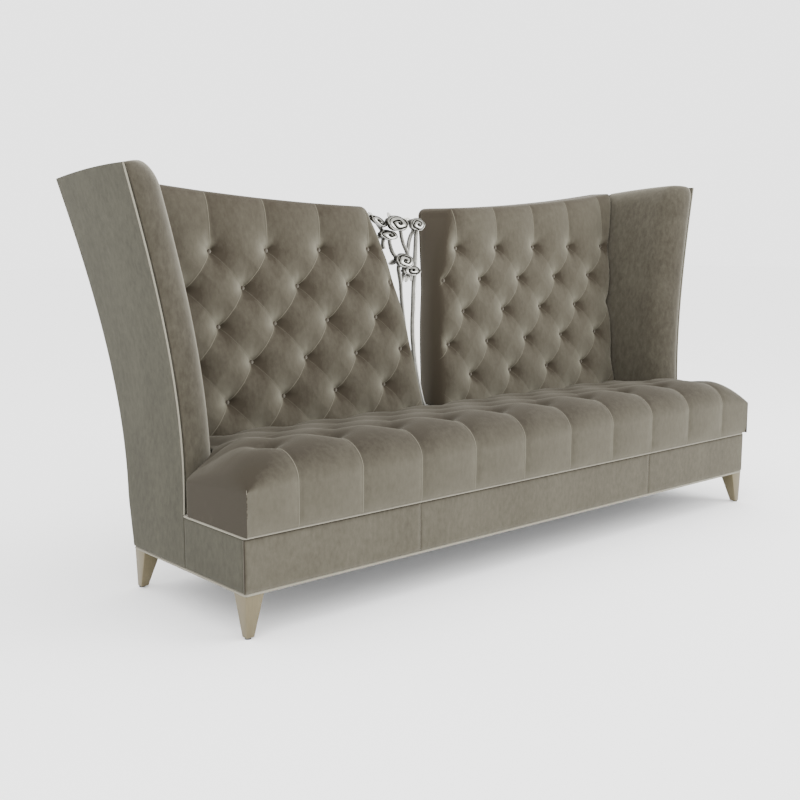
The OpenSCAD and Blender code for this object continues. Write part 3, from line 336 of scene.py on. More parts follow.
def back_depth(x, z):
    """How far the velvet stands in front of the tuft plane."""
    p, q = back_map(x, z)
    open_share = clamp((z - TUFT_TOP_Z) / CHANNEL_START)
    pillow, crease = folded((p + q) / 2, (p - q) / 2, TUFT_X, TUFT_Z, open_share)
    beside, above = from_button(x, z)
    button, way = hypot(beside, above), atan2(above, beside)
    pull = noise.noise(Vector((2.4 * cos(way), 2.4 * sin(way), 5 * round(p) + 3 * round(q))))
    full = BACK_CROWN - lerp(TUFT_FALL, CHANNEL_FALL, open_share) * (1 - pillow) - CREASE_DEPTH * crease
    full -= PIT_DEPTH * exp(-(button / PIT_R) ** 1.35) + EYE_DEPTH * exp(-(button / EYE_R) ** 2)
    full += PUCKER * pull * exp(-(button / PUCKER_R) ** 2) * (1 - exp(-(button / PUCKER_START) ** 2))
    edge = quarter(x - gap_x(z), GAP_ROUND) * quarter(back_top(x) - z, TOP_ROUND)
    edge *= quarter(inner_x(z) - x, END_ROUND)
    return lerp(BACK_RIM + RIM_PILLOW * pillow * clamp((z - TUFT_TOP_Z) / RIM_PILLOW_RISE), full, edge)


def cover(columns, rows, place, tufts=None, lined=None, painted_light=None):
    """A skin made from a grid: place puts each point by its shares across and up, tufts gives its place on
    the map of folds, lined how far the painted fold lines show, and the last how much painted highlight or
    shade lies there."""
    bm = bmesh.new()
    bmesh.ops.create_grid(bm, x_segments=columns, y_segments=rows, size=0.5)
    if tufts:
        layer, mark = bm.loops.layers.uv.new("folds"), bm.verts.layers.float.new("lined")
        light_layer = bm.verts.layers.float.new("painted_light")
    shares = {v: (v.co.x + 0.5, v.co.y + 0.5) for v in bm.verts}
    if tufts:
        for face in bm.faces:
            for loop in face.loops:
                loop[layer].uv = tufts(*shares[loop.vert])
        for v, share in shares.items():
            v[mark] = lined(*share)
            v[light_layer] = painted_light(*share) if painted_light else 0
    for v, share in shares.items():
        v.co = place(*share)
    return bm


def drawn_out(bm, rim, steps, place):
    """Extrudes a rim step by step: place gives where a point of the rim has got to at a share of the way."""
    starts = {}
    for k in range(1, steps + 1):
        made = bmesh.ops.extrude_edge_only(bm, edges=rim)["geom"]
        verts = {g for g in made if isinstance(g, bmesh.types.BMVert)}
        rim = [g for g in made if isinstance(g, bmesh.types.BMEdge) and set(g.verts) <= verts]
        for v in verts:
            old = next(e.other_vert(v) for e in v.link_edges if e.other_vert(v) not in verts)
            starts[v] = starts.get(old, old.co.copy())
            v.co = place(starts[v], k / steps)
    return rim


SAME_POINT = 0.00002


def seal(bm):
    """Merges doubled points, closes the openings and turns the faces outwards."""
    bmesh.ops.remove_doubles(bm, verts=bm.verts, dist=SAME_POINT)
    bmesh.ops.holes_fill(bm, edges=[e for e in bm.edges if e.is_boundary], sides=0)
    bmesh.ops.triangulate(bm, faces=[f for f in bm.faces if len(f.verts) > 4])
    bmesh.ops.recalc_face_normals(bm, faces=bm.faces)


def piece(name, bm, material, slot, *replaced, rounds=0, mirror=False):
    """The finished piece, which stands for the CAD nodes that it replaces."""
    mesh = bpy.data.meshes.new(name)
    bm.to_mesh(mesh)
    bm.free()
    if mirror:
        mesh.transform(Matrix.Diagonal((-1, 1, 1, 1)))
        mesh.flip_normals()
    mesh.materials.append(material)
    mesh.shade_smooth()
    obj = stand(name, mesh)
    if rounds:
        smooth = obj.modifiers.new("rounded", "SUBSURF")
        smooth.levels = smooth.render_levels = rounds
    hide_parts(*replaced)
    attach(obj, "root")
    return obj


BROWN, PALE, FOLD_W = (0.0205, 0.0160, 0.0096), (0.137, 0.128, 0.097), 0.0065
# The backs' dark colour is painted a little paler than BROWN, to lighten the side of the gap that lies in
# shade.
velvet_back = velvet("velvet_back", (0.0255, 0.0198, 0.0120), PALE, pale_facing=(0.7, 0, -0.45), level=0.26,
                     turn=0.75, brushed=0.32, fold_width=FOLD_W)
TOP_ROWS = 0.72


def back_place(s, t):
    """Shares across and up to X and Z: rows are even up to the top buttons, then fan out to the edge."""
    if t < TOP_ROWS:
        z = lerp(GAP_FOOT_H, TUFT_TOP_Z, t / TOP_ROWS)
        return lerp(gap_x(z), inner_x(z), s), z
    up = (t - TOP_ROWS) / (1 - TOP_ROWS)
    x = lerp(gap_x(lerp(TUFT_TOP_Z, BACK_MID_H - CORNER, up)), inner_x(lerp(TUFT_TOP_Z, BACK_END_H, up)), s)
    return x, lerp(TUFT_TOP_Z, back_top(x), up)


def back_point(s, t):
    x, z = back_place(s, t)
    return Vector((x, FRONT + tuft_y(z) - back_depth(x, z), z))


LEAN_START, LEAN_RISE, LEAN_REACH = 0.85, 0.3, 0.3
LEAN_IN, LEAN_BACK = 0.032, 0.036


def boxing(x, z, out):
    """A place on the boxing, from the back of the pad at 0 to the outside back at 1. It leans out and in over
    the gap towards the upper corner."""
    upper = clamp((z - LEAN_START) / LEAN_RISE) ** 1.5 * exp(-max(0, x - gap_x(z)) / LEAN_REACH) * out
    return x - LEAN_IN * upper, lerp(tuft_y(z) + BACK_FILL, rear_y(z), out) + LEAN_BACK * upper


# Painted highlight and painted shade round each button of the backs, and a paler right half.
BUTTON_HIGHLIGHT, BUTTON_HIGHLIGHT_REACH, BUTTON_SHADE, BUTTON_SHADE_REACH = 0.78, 0.040, 0.22, 0.036
HIGHLIGHT_SIDE, HIGHLIGHT_UP, HIGHLIGHT_SPREAD = 0.8, 0.6, 0.15
RIGHT_HALF_PAINTED_PALER, HIGHLIGHT_TOP, GAP_PLAIN, GAP_FADE = 0.10, 0.07, 0.008, 0.03


def back_painted_light(x, z, turned_over):
    """Painted light round a button: a painted highlight above it and to its left, and painted shade to its
    right. The right half is painted a little paler all over.
    """
    beside, above = from_button(x, z)
    away = max(hypot(beside, above), 0.001)
    lit_side = (HIGHLIGHT_SIDE * (beside if turned_over else -beside) + HIGHLIGHT_UP * above) / away
    base = 0 if turned_over else RIGHT_HALF_PAINTED_PALER
    if z > TUFT_TOP_Z + HIGHLIGHT_TOP:
        return base
    painted_highlight = BUTTON_HIGHLIGHT * clamp(lit_side + HIGHLIGHT_SPREAD) * exp(-(away / BUTTON_HIGHLIGHT_REACH) ** 2)
    painted_highlight *= clamp((x - gap_x(z) - GAP_PLAIN) / GAP_FADE)
    return base + painted_highlight - BUTTON_SHADE * clamp(-lit_side) * exp(-(away / BUTTON_SHADE_REACH) ** 2)


FADE_GAP, FADE_TOP, FADE_FOOT, FADE_WING, LINES_END, WING_SEAM = 0.02, 0.012, 0.01, 0.010, 0.980, 0.99


def back_lined(s, t):
    """How far the painted fold lines show: they fade out at the rim, and painted shade darkens the seam at
    the wing.
    """
    if s >= WING_SEAM:
        return -1
    return min(s / FADE_GAP, (1 - t) / FADE_TOP, t / FADE_FOOT, 1, (LINES_END - s) / FADE_WING)


WALL_SIDE, WALL_BOXING = 2, (0.3, 0.62, 0.93, 0.93, 0)
WALL_STEPS = WALL_SIDE + len(WALL_BOXING)
WALL_FULL, WALL_FULL_STEPS, WALL_FULL_REACH, WALL_TUCK = 0.010, 5, 0.02, 0.005
PAD_MIDDLE, TOUCH = Vector((0.62, 0, 0.75)), 0.001


def back_wall(start, share):
    """Sides of the pad. Over the top and down the gap they run on as boxing, and turn in behind it."""
    step, pad_back = round(WALL_STEPS * share), tuft_y(start.z) + BACK_FILL
    if start.z < GAP_FOOT_H + TOUCH or start.x > inner_x(start.z) - TOUCH:
        return Vector((start.x, lerp(start.y, FRONT + pad_back, share), start.z))
    full = WALL_FULL * sin(pi * min(step, WALL_FULL_STEPS) / WALL_FULL_STEPS)
    full *= exp(-max(0, start.x - gap_x(start.z)) / WALL_FULL_REACH)
    if step <= WALL_SIDE:
        return Vector((start.x - full, lerp(start.y, FRONT + pad_back, step / WALL_SIDE), start.z))
    x, y = boxing(start.x, start.z, WALL_BOXING[step - WALL_SIDE - 1])
    inward = (PAD_MIDDLE - Vector((x, 0, start.z))).normalized()
    inward *= WALL_TUCK if step > WALL_FULL_STEPS else 0
    return Vector((x - full, FRONT + y, start.z)) + inward


HALVES = (("left", True), ("right", False))
for side, turned_over in HALVES:
    bm = cover(176, 132, back_point, lambda s, t: back_map(*back_place(s, t))[::-1 if turned_over else 1],
               back_lined, lambda s, t: back_painted_light(*back_place(s, t), turned_over))
    drawn_out(bm, [e for e in bm.edges if e.is_boundary], WALL_STEPS, back_wall)
    seal(bm)
    pad = piece("tufted_back_" + side, bm, velvet_back, "velvet", "back_pad_" + side, rounds=1,
                mirror=turned_over)


# Buttons. Small domes covered in the same velvet, one at each meeting of the folds. A waxed twine pulls each
# one in through the foam to the webbing.
BUTTON_R, BUTTON_FLAT, BUTTON_SUNK = 0.008, 0.6, 0.003
BUTTON_ROWS, BUTTON_COLUMNS = 5, 7
DRAWN_BUTTONS = {(1, 0): 0.134, (3, 0): 0.121}
velvet_button = velvet("velvet_button", (0.036, 0.029, 0.021), (0.16, 0.148, 0.122), level=0.4)


def button_places():
    for row in range(BUTTON_ROWS):
        z = TUFT_TOP_Z - row * TUFT_Z
        for i in range(BUTTON_COLUMNS):
            x = DRAWN_BUTTONS.get((row, i), TUFT_X * (i + 0.5 * (row % 2)))
            if gap_x(z) + BUTTON_R < x < inner_x(z) - BUTTON_R:
                yield x, z


for side, turned_over in HALVES:
    bm = bmesh.new()
    for x, z in button_places():
        made = bmesh.ops.create_uvsphere(bm, u_segments=16, v_segments=8, radius=BUTTON_R)["verts"]
        bmesh.ops.scale(bm, verts=made, vec=(1, 1, BUTTON_FLAT))
        bmesh.ops.rotate(bm, verts=made, matrix=Matrix.Rotation(radians(90) - RECLINE, 3, "X"))
        bmesh.ops.translate(bm, verts=made, vec=(x, FRONT + tuft_y(z) - back_depth(x, z) - BUTTON_SUNK, z))
    piece("buttons_" + side, bm, velvet_button, "velvet_button", "back_buttons_" + side, mirror=turned_over)


# Wings. Foam and velvet wrap the inside, the rolled front and the top of a hardwood frame, and a flat
# velvet panel closes the outside, sewn to a welt up the front edge.
WING_Y, WING_LEAN, WING_SEWN = 0.315, 0.053, 0.0045
WING_ROLL, WING_SWELL, WING_CROWN, FACE_ROLL = 0.052, 0.008, 0.012, 0.094
WING_FRAME_T, WING_FRAME_GAP, FRAME_BELOW = 0.052, 0.0009, 0.040
WING_FOOT = BAND_TOP + WING_SEWN
FRAME_IN = SIDE_T + WING_FRAME_T + WING_FRAME_GAP
FRAME_TOP = WING_BACK_H - FRAME_BELOW
WING_LIP = 0.58 * WING_ROLL
HUMP_W, HUMP_FADE = 1.25 * (WING_T - SIDE_T), 0.7
FRONT_SHARE, ROLL_SHARE, LIP_SHARE = 0.25, 0.5, 0.3
BODY_ROWS, CAP_ROWS = 0.80, 0.92
# The wing's velvet is painted paler on faces turned towards -X and browner on those turned towards +X:
# painted shade by facing.
velvet_wing = velvet("velvet_wing", BROWN, PALE, pale_facing=(-0.15, 0, 0), level=0.16, turn=0.3, sheen=0.45)


def wing_front(z):
    return WING_Y + WING_LEAN * max(0, (z - BAND_TOP) / (WING_H - BAND_TOP))


def wing_top(y):
    """Height of a wing, which falls from its front to the back."""
    back = clamp((y - wing_front(WING_H)) / (rear_y(WING_BACK_H) - wing_front(WING_H)))
    return lerp(WING_H, WING_BACK_H, back ** 1.7)


def wing_hump(u, y):
    """The soft crown of a wing's top, at a depth from its outer face."""
    return (WING_CROWN * sin(pi * clamp((u - SIDE_T) / HUMP_W))
            * (1 - HUMP_FADE * clamp((y - WING_Y) / (tuft_y(WING_H) + BACK_FILL - WING_Y))))


def wing_show(z, s):
    """Section of a wing's padded face, as depth from its outer face and Y: from the welt round the roll to
    the back."""
    f = wing_front(z)
    if s < FRONT_SHARE:
        t = s / FRONT_SHARE
        return lerp(SIDE_T, WING_T - FACE_ROLL, t), f - WING_SWELL * sin(pi / 2 * t) ** 0.6
    if s < ROLL_SHARE:
        a = pi / 2 * (s - FRONT_SHARE) / (ROLL_SHARE - FRONT_SHARE)
        return WING_T - FACE_ROLL * (1 - sin(a)), f - WING_SWELL + FACE_ROLL * (1 - cos(a))
    inside = (s - ROLL_SHARE) / (1 - ROLL_SHARE)
    return WING_T, lerp(f - WING_SWELL + FACE_ROLL, tuft_y(z) + BACK_FILL, inside)


def wing_lining(z, s):
    """The same section's side against the frame, from the welt to the back."""
    f = wing_front(z) + WING_LIP
    if s < LIP_SHARE:
        return lerp(SIDE_T, FRAME_IN, s / LIP_SHARE), f
    return FRAME_IN, lerp(f, tuft_y(z) + BACK_FILL, (s - LIP_SHARE) / (1 - LIP_SHARE))


def wing_point(s, t):
    """The pad goes round the section and back to its start, up the frame, and over it as a cap."""
    s = s if s < 0.999 else 0
    shown = s <= 0.5
    share = 2 * s if shown else 2 * (1 - s)
    section = wing_show if shown else wing_lining
    if t <= BODY_ROWS:
        z = lerp(WING_FOOT, FRAME_TOP, t / BODY_ROWS)
        u, y = section(z, share)
        return Vector((wing_x(z) - u, FRONT + y, z))
    if shown:
        u, y = wing_show(FRAME_TOP, share)
    else:
        u, y = SIDE_T, lerp(wing_front(FRAME_TOP) + WING_LIP / 3, tuft_y(FRAME_TOP) + BACK_FILL, share)
    turn = pi / 2 * clamp((t - BODY_ROWS) / (CAP_ROWS - BODY_ROWS))
    closed, front = 1 - cos(turn), clamp((wing_front(WING_H) + WING_ROLL - y) / WING_ROLL)
    u -= WING_ROLL * (u - SIDE_T) / (WING_T - SIDE_T) * closed
    y += WING_LIP * front * closed if shown and s > 0 else 0
    if t > CAP_ROWS:
        u = lerp(u, SIDE_T, (t - CAP_ROWS) / (1 - CAP_ROWS))
    z = lerp(FRAME_TOP, wing_top(y) + wing_hump(u, y), sin(turn))
    return Vector((wing_x(z) - u, FRONT + y, z))


for side, turned_over in HALVES:
    bm = cover(96, 112, wing_point)
    seal(bm)
    pad = piece("padded_wing_" + side, bm, velvet_wing, "velvet", "wing_pad_" + side, rounds=1,
                mirror=turned_over)


# Outsides. Flat velvet panels blind stitched over the frames: one closes the outside of each wing, and one
# each half back, with boxing that runs over the upper edge and down the side of the gap.
WELT_R, SEAM_GAP, SLACK, TOP_SLACK, HALF_SEAM = 0.004, 0.0008, 0.0004, 0.001, 0.0003
PANEL_FOOT = LEG_H + 2 * WELT_R + SEAM_GAP
EDGE_SOFT, EDGE_SOFT_R, END_SPREAD, FOOT_SPREAD = 0.0035, 0.006, 0.35, 1.1
PANEL_BOW, PANEL_T = 0.002, 0.006
# The wing outsides and end bands use a copy of the velvet painted greyer and flatter: painted light for faces
# turned outwards.
velvet_outside = velvet("velvet_outside", (0.026, 0.0242, 0.0168), (0.061, 0.0582, 0.042), level=0.5,
                        turn=0.2, brushed=1.1, sheen=0.1)
velvet_plain = velvet("velvet_plain", BROWN, PALE)


def crowded(share):
    """Moves the rows of a grid closer together towards both edges."""
    return 0.5 - 0.5 * cos(pi * share)


def side_point(s, t):
    """The outside of a wing, bowed a little and softened along its edges."""
    s, t = crowded(s), crowded(t)
    front = wing_front(lerp(PANEL_FOOT, WING_H, t)) if lerp(PANEL_FOOT, WING_H, t) > BAND_TOP else WING_Y
    y = lerp(front + SLACK, rear_y(lerp(PANEL_FOOT, WING_BACK_H, t)) - SLACK, s)
    z = lerp(PANEL_FOOT, wing_top(y), t)
    near = min((1 - s) * END_SPREAD, t * FOOT_SPREAD, (1 - t) * FOOT_SPREAD)
    x = wing_x(z) - EDGE_SOFT * (1 - quarter(near, EDGE_SOFT_R)) + PANEL_BOW * sin(pi * s)
    return Vector((x, FRONT + y, z))


def side_wall(start, share):
    """The panel's edge turns in towards the frame."""
    return start - Vector((EDGE_SOFT * 2 * share, 0, 0))


def outside_loop():
    """Outline of a half back, from the foot of the gap up its side, over the top, and round by the floor."""
    gap_rows = [lerp(GAP_FOOT_H, TUFT_TOP_Z, k / 24) for k in range(24)]
    gap_rows += [lerp(TUFT_TOP_Z, back_top(0), k / 10) for k in range(10)]
    start, end = gap_x(back_top(0)), inner_x(BACK_END_H)
    top_places = [lerp(start, end, (k / 36) ** 2) for k in range(36)]
    far, base = wing_x(WING_BACK_H) - SIDE_T - SLACK, HALF_W - SIDE_T - SLACK
    wing_rows = [lerp(WING_BACK_H - TOP_SLACK, BAND_TOP, k / 24) for k in range(24)]
    line = [(gap_x(z), z) for z in gap_rows] + [(x, back_top(x)) for x in top_places]
    line += [(lerp(end, far, k / 6), lerp(BACK_END_H, WING_BACK_H, k / 6) - TOP_SLACK) for k in range(6)]
    line += [(wing_x(z) - SIDE_T - SLACK, z) for z in wing_rows]
    line += [(base, lerp(BAND_TOP, PANEL_FOOT, k / 4)) for k in range(4)]
    line += [(lerp(base, HALF_SEAM, k / 12), PANEL_FOOT) for k in range(12)]
    line += [(HALF_SEAM, lerp(PANEL_FOOT, GAP_FOOT_H, k / 6)) for k in range(6)]
    return line + [(lerp(HALF_SEAM, GAP_FOOT, k / 3), GAP_FOOT_H) for k in range(3)]


outline = outside_loop()
# Rings of the panel: how far out over the boxing, and how far in from the outline to the panel's middle.
RIM_START, RIM_RUN = 0.78, 0.22
rings = [(RIM_START, 0.004), (0.88, 0.0015), (0.935, 0.0008), (0.97, 0.003), (0.99, 0.007), (1.0, 0.013)]
rings += [(1.0, k / 10) for k in (0.3, 0.8, 1.6, 2.6, 4, 6, 8, 10)]
PANEL_MIDDLE_X, PANEL_MIDDLE_Z = 0.62, 0.40
FOOT_TURN, SILL_REACH, WING_REACH, WING_EDGE = 0.03, -0.8, -0.4, 0.004


def outside_point(s, t):
    """The boxing turns over the gap's sill and the wing's frame. The panel is flat from its rim in."""
    x, z = outline[round(s * len(outline)) % len(outline)]
    out, inset = rings[round(t * (len(rings) - 1))]
    if z < GAP_FOOT_H - 0.0001:
        y = rear_y(z) - FOOT_TURN * (1 - out)
    else:
        if x < GAP_FOOT or x > inner_x(z) - WING_EDGE:
            out = lerp(SILL_REACH if x < GAP_FOOT else WING_REACH, 1, (out - RIM_START) / RIM_RUN)
        x, y = boxing(x, z, out)
    flat_z = lerp(z, PANEL_MIDDLE_Z, inset)
    y = rear_y(flat_z) + (y - rear_y(z)) * (1 - inset) ** 3
    return Vector((lerp(x, PANEL_MIDDLE_X, inset), FRONT + y, flat_z))


for side, turned_over in HALVES:
    bm = cover(40, 48, side_point)
    drawn_out(bm, [e for e in bm.edges if e.is_boundary], 2, side_wall)
    seal(bm)
    piece("wing_outside_" + side, bm, velvet_outside, "velvet_outside", "wing_side_" + side,
          mirror=turned_over)
    bm = cover(len(outline), len(rings) - 1, outside_point)
    bmesh.ops.remove_doubles(bm, verts=bm.verts, dist=SAME_POINT)
    bmesh.ops.recalc_face_normals(bm, faces=bm.faces)
    back = piece("outside_panel_" + side, bm, velvet_plain, "velvet", "outside_back_" + side,
                 mirror=turned_over)
    shell = back.modifiers.new("thickness", "SOLIDIFY")
    shell.thickness = PANEL_T
    shell.offset = -1


# Seat. One tight bench over springs and felt: channels rise up its front, roll over the edge and meet the
# first row of tufts, and diamonds follow to the backs. It is sewn to the deck at the welt.
SEAT_NOSE, SEAT_EDGE_H, SEAT_TOP_H = 0.015, 0.410, 0.498
SEAT_ROLL, SEAT_END_ROLL, SEAT_END_RUN, SEAT_FALL = 0.131, 0.1965, 0.19, 0.028
SEAT_X, SEAT_Z, SEAT_ROW, SEAT_DEEP_RUN = 0.2272, 0.1285, 0.142, 0.12
SEAT_TO_BACK, SEAT_TO_WING, SEAT_TO_FACE, SEAT_SEWN = 0.016, 0.0023, 0.0003, 0.0043
SEAT_BACK_Y = tuft_y(SEAT_TOP_H - SEAT_FALL) - SEAT_TO_BACK
SEAT_SIDE_X = inner_x((BAND_TOP + SEAT_TOP_H) / 2) - SEAT_TO_WING
SEAT_STEP_Y, SEAT_STEP_RUN = WING_Y - WING_SWELL - SEAT_TO_FACE, 0.006
SEAT_BOTTOM, SEAT_WING_EDGE_H = BAND_TOP + SEAT_SEWN, 0.389
NOSE_FOOT, NOSE_ROUND, CHANNEL_RISE, SEAT_RIM = 0.03, 0.55, 0.3, 0.024
SEAT_LINES_END, SEAT_LINES_FADE, SIDE_TUCK_FADE = 0.012, 0.03, 0.05
SEAT_CHANNEL, SEAT_CHANNEL_CREASE, SEAT_CHANNEL_FADE = 0.005, 0.002, 0.05
SIDE_TUCK, SIDE_TUCK_REACH, WING_TUCK_REACH = 0.013, 0.06, 0.035
BACK_TUCK, BACK_TUCK_REACH = 0.020, 0.016
SEAT_LIFT, SEAT_REAR_LIFT, SEAT_LIFT_START, SEAT_LIFT_RUN = 0.013, -0.003, 0.15, 0.3
# Each pair is a measure at the front row of tufts and at the rows behind it.
PILLOW_FALL, CREASE_FALL = (0.009, 0.0014), (0.0018, 0.0008)
PIT_FALL, PIT_REACH = (0.034, 0.016), (0.036, 0.046)
FACE_ROWS, ROLL_ROWS, TOP_COUNT, ACROSS_COUNT = 18, 32, 70, 344
ALONG_COUNT = FACE_ROWS + ROLL_ROWS + TOP_COUNT
velvet_seat = velvet("velvet_seat", BROWN, PALE, pale_facing=(0.55, 0, -0.5), level=0.40, turn=0.8, brushed=0.3,
                     fold_width=FOLD_W)


def seat_level(y):
    return SEAT_TOP_H - SEAT_FALL * clamp((y - SEAT_ROW) / (SEAT_BACK_Y - SEAT_ROW))


def seat_tufts(x, y):
    """Place on the seat's map of folds: channels up to the first row of tufts, and diamonds behind it."""
    across, deep = x / SEAT_X + 0.5, max(0, (y - SEAT_ROW) / (2 * SEAT_Z))
    return across + deep, across - deep


def seat_drop(x, y):
    """How far the velvet lies under the swell of its pillows, with the fullness and the crease there."""
    p, q = seat_tufts(x, y)
    pillow, crease = folded((p + q) / 2, (p - q) / 2, SEAT_X, SEAT_Z,
                           clamp((SEAT_ROW - y) / CHANNEL_START))
    a, b = (round(p) + round(q)) / 2, (round(p) - round(q)) / 2
    pit = hypot(x - SEAT_X * (a - 0.5), y - SEAT_ROW - 2 * SEAT_Z * b)
    behind = clamp((y - SEAT_ROW) / SEAT_DEEP_RUN)
    drop = lerp(*PILLOW_FALL, behind) * (1 - pillow) + lerp(*CREASE_FALL, behind) * crease
    drop += lerp(*PIT_FALL, behind) * exp(-(pit / lerp(*PIT_REACH, behind)) ** 1.5)
    return drop, pillow, crease


def seat_end_height(y):
    """Height of the edge where the cover turns down at an end: it is pulled lower next to the wing."""
    return lerp(SEAT_EDGE_H, SEAT_WING_EDGE_H, clamp(y / SEAT_STEP_Y) ** 2)


def seat_nose(up):
    """How far the front face stands forward at a share of its height."""
    return SEAT_NOSE * quarter(up + NOSE_FOOT, NOSE_ROUND)


def seat_place(s, t):
    """Shares across and along the cover to X and Y, from the welt up the front, over the roll and back. The
    front face also has its height."""
    row = t * ALONG_COUNT
    z = None
    if row < FACE_ROWS - 0.5:
        y, z = -SEAT_NOSE, lerp(SEAT_BOTTOM, SEAT_EDGE_H, row / FACE_ROWS)
    elif row < FACE_ROWS + ROLL_ROWS:
        y = SEAT_ROLL * (1 - cos(pi / 2 * (row - FACE_ROWS) / ROLL_ROWS)) - SEAT_NOSE
    else:
        y = lerp(SEAT_ROLL - SEAT_NOSE, SEAT_BACK_Y, (row - FACE_ROWS - ROLL_ROWS) / TOP_COUNT)
    beside = SEAT_SIDE_X + FACE_ROLL * (1 - quarter(y - SEAT_STEP_Y, FACE_ROLL))
    half = lerp(HALF_W, beside, clamp((y - SEAT_STEP_Y + SEAT_STEP_RUN) / SEAT_STEP_RUN))
    return lerp(-half, half, s), y, z


def seat_point(s, t):
    x, y, z = seat_place(s, t)
    drop, pillow, crease = seat_drop(x, y)
    inward = HALF_W - abs(x)
    draw = SEAT_CHANNEL * (1 - pillow) + SEAT_CHANNEL_CREASE * crease
    draw *= clamp(inward / SEAT_CHANNEL_FADE)
    if z is not None:
        up = (z - SEAT_BOTTOM) / (SEAT_EDGE_H - SEAT_BOTTOM)
        return Vector((x, FRONT + (draw * clamp(up / CHANNEL_RISE) - seat_nose(up)), z))
    rolled, along = quarter(y + SEAT_NOSE, SEAT_ROLL), clamp(y / SEAT_STEP_Y) ** 2
    if y < SEAT_STEP_Y - SEAT_STEP_RUN / 2:
        tucked = SIDE_TUCK * exp(-(SEAT_STEP_Y - y) / WING_TUCK_REACH)
        tucked *= clamp((SEAT_END_RUN - inward) / SIDE_TUCK_FADE)
    else:
        tucked = SIDE_TUCK * exp(-max(0, SEAT_SIDE_X - abs(x)) / SIDE_TUCK_REACH)
    tucked += BACK_TUCK * exp(-(SEAT_BACK_Y - y) / BACK_TUCK_REACH)
    rise = lerp(quarter(inward, SEAT_END_ROLL), sin(pi / 2 * clamp(inward / SEAT_END_RUN)), along)
    lift = lerp(SEAT_LIFT, SEAT_REAR_LIFT, clamp((y - SEAT_LIFT_START) / SEAT_LIFT_RUN))
    z = lerp(seat_end_height(y), seat_level(y) + lift - drop - tucked, rolled * rise)
    return Vector((x, FRONT + y + draw * (1 - rolled), z))


def seat_map(s, t):
    return seat_tufts(*seat_place(s, t)[:2])


def seat_lined(s, t):
    """The painted fold lines show on the channels, and fade out at the first row of tufts."""
    return clamp((SEAT_ROW - SEAT_LINES_END - seat_place(s, t)[1]) / SEAT_LINES_FADE)


def seat_wall(start, share):
    """The ends and the back go down to the deck, the ends in step with the rows of the front face."""
    return Vector((start.x, start.y, lerp(start.z, SEAT_BOTTOM, share)))


bm = cover(ACROSS_COUNT, ALONG_COUNT, seat_point, seat_map, seat_lined)
rim = [e for e in bm.edges if e.is_boundary and min(v.co.z for v in e.verts) > SEAT_EDGE_H - SEAT_RIM]
drawn_out(bm, rim, FACE_ROWS, seat_wall)
seal(bm)
seat = piece("bench_seat", bm, velvet_seat, "velvet", "seat_cushion", rounds=1)


# Bands. Velvet over wadding round the base, stapled under the rails: three panels across the front and one
# at each end, with a seam between them.
BAND_SOFT, BAND_SOFT_R = 0.0028, 0.010


def band(name, material):
    """One panel of the band, softened along its edges, between the limits of its CAD node."""
    low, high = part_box(name)
    along_side = high.y - low.y > high.x - low.x
    outer, inner = (high.x, low.x) if high.x > HALF_W - TOUCH and along_side else (low.x, high.x)
    length = (high.y - low.y) if along_side else (high.x - low.x)

    def place(s, t):
        s, t = crowded(s), crowded(t)
        z = lerp(low.z, high.z, t)
        near = min(s * length, (1 - s) * length, z - low.z, high.z - z)
        soft = BAND_SOFT * (1 - quarter(near, BAND_SOFT_R))
        if along_side:
            return Vector((outer + (soft if outer < inner else -soft), lerp(low.y, high.y, s), z))
        return Vector((lerp(low.x, high.x, s), low.y + soft, z))

    def wall(start, share):
        return Vector((inner, start.y, start.z)) if along_side else Vector((start.x, high.y, start.z))

    bm = cover(60, 16, place)
    drawn_out(bm, [e for e in bm.edges if e.is_boundary], 1, wall)
    seal(bm)
    piece("velvet_" + name, bm, material, "velvet_outside" if along_side else "velvet", name)


for name in ("front_band_left", "front_band_centre", "front_band_right"):
    band(name, velvet_plain)
for name in ("side_band_left", "side_band_right"):
    band(name, velvet_outside)


# Welts. Cord covered in a paler velvet, sewn in at the foot of the seat, along the bottom of the base and
# up the front edges of the wings. Fine seams run up the corners of the seat and between the bands.
WELT_TURN, SEAM_R, SEAM_SET, SEAT_SEAM_SET = 0.006, 0.0005, 0.0006, 0.0007
WING_WELT_R, WING_WELT_IN, WING_WELT_OUT = 0.0025, 0.0018, 0.001
ACROSS, UP = Vector((1, 0, 0)), Vector((0, 0, 1))
welt_velvet = velvet("welt_velvet", (0.13, 0.12, 0.092), (0.26, 0.245, 0.20), level=0.5, turn=0.3,
                     brushed=0.3, sheen=0.15)


def cord(bm, points, radius, aside, closed=False):
    """A round cord along points; aside is a direction that it never runs along."""
    rings = []
    count = len(points)
    for k, here in enumerate(points):
        after = points[(k + 1) % count] if closed or k < count - 1 else here
        before = points[k - 1] if closed or k > 0 else here
        along = (after - before).normalized()
        first = along.cross(aside).normalized()
        second = first.cross(along)
        rings.append([bm.verts.new(here + radius * (cos(a) * first + sin(a) * second))
                      for a in (2 * pi * n / 12 for n in range(12))])
    for k in range(count if closed else count - 1):
        one, two = rings[k], rings[(k + 1) % count]
        for n in range(12):
            bm.faces.new((one[n], one[(n + 1) % 12], two[(n + 1) % 12], two[n]))
    if not closed:
        bm.faces.new(rings[0][::-1])
        bm.faces.new(rings[-1])
    bmesh.ops.recalc_face_normals(bm, faces=bm.faces)


def rounded(corners, radius, closed):
    """A path through corners with each one turned over a small radius."""
    path = []
    for k, corner in enumerate(corners):
        if not closed and k in (0, len(corners) - 1):
            path.append(corner)
            continue
        to_last = (corners[k - 1] - corner).normalized() * radius
        to_next = (corners[(k + 1) % len(corners)] - corner).normalized() * radius
        path += [corner + to_last * (1 - n / 6) ** 2 + to_next * (n / 6) ** 2 for n in range(7)]
    return path


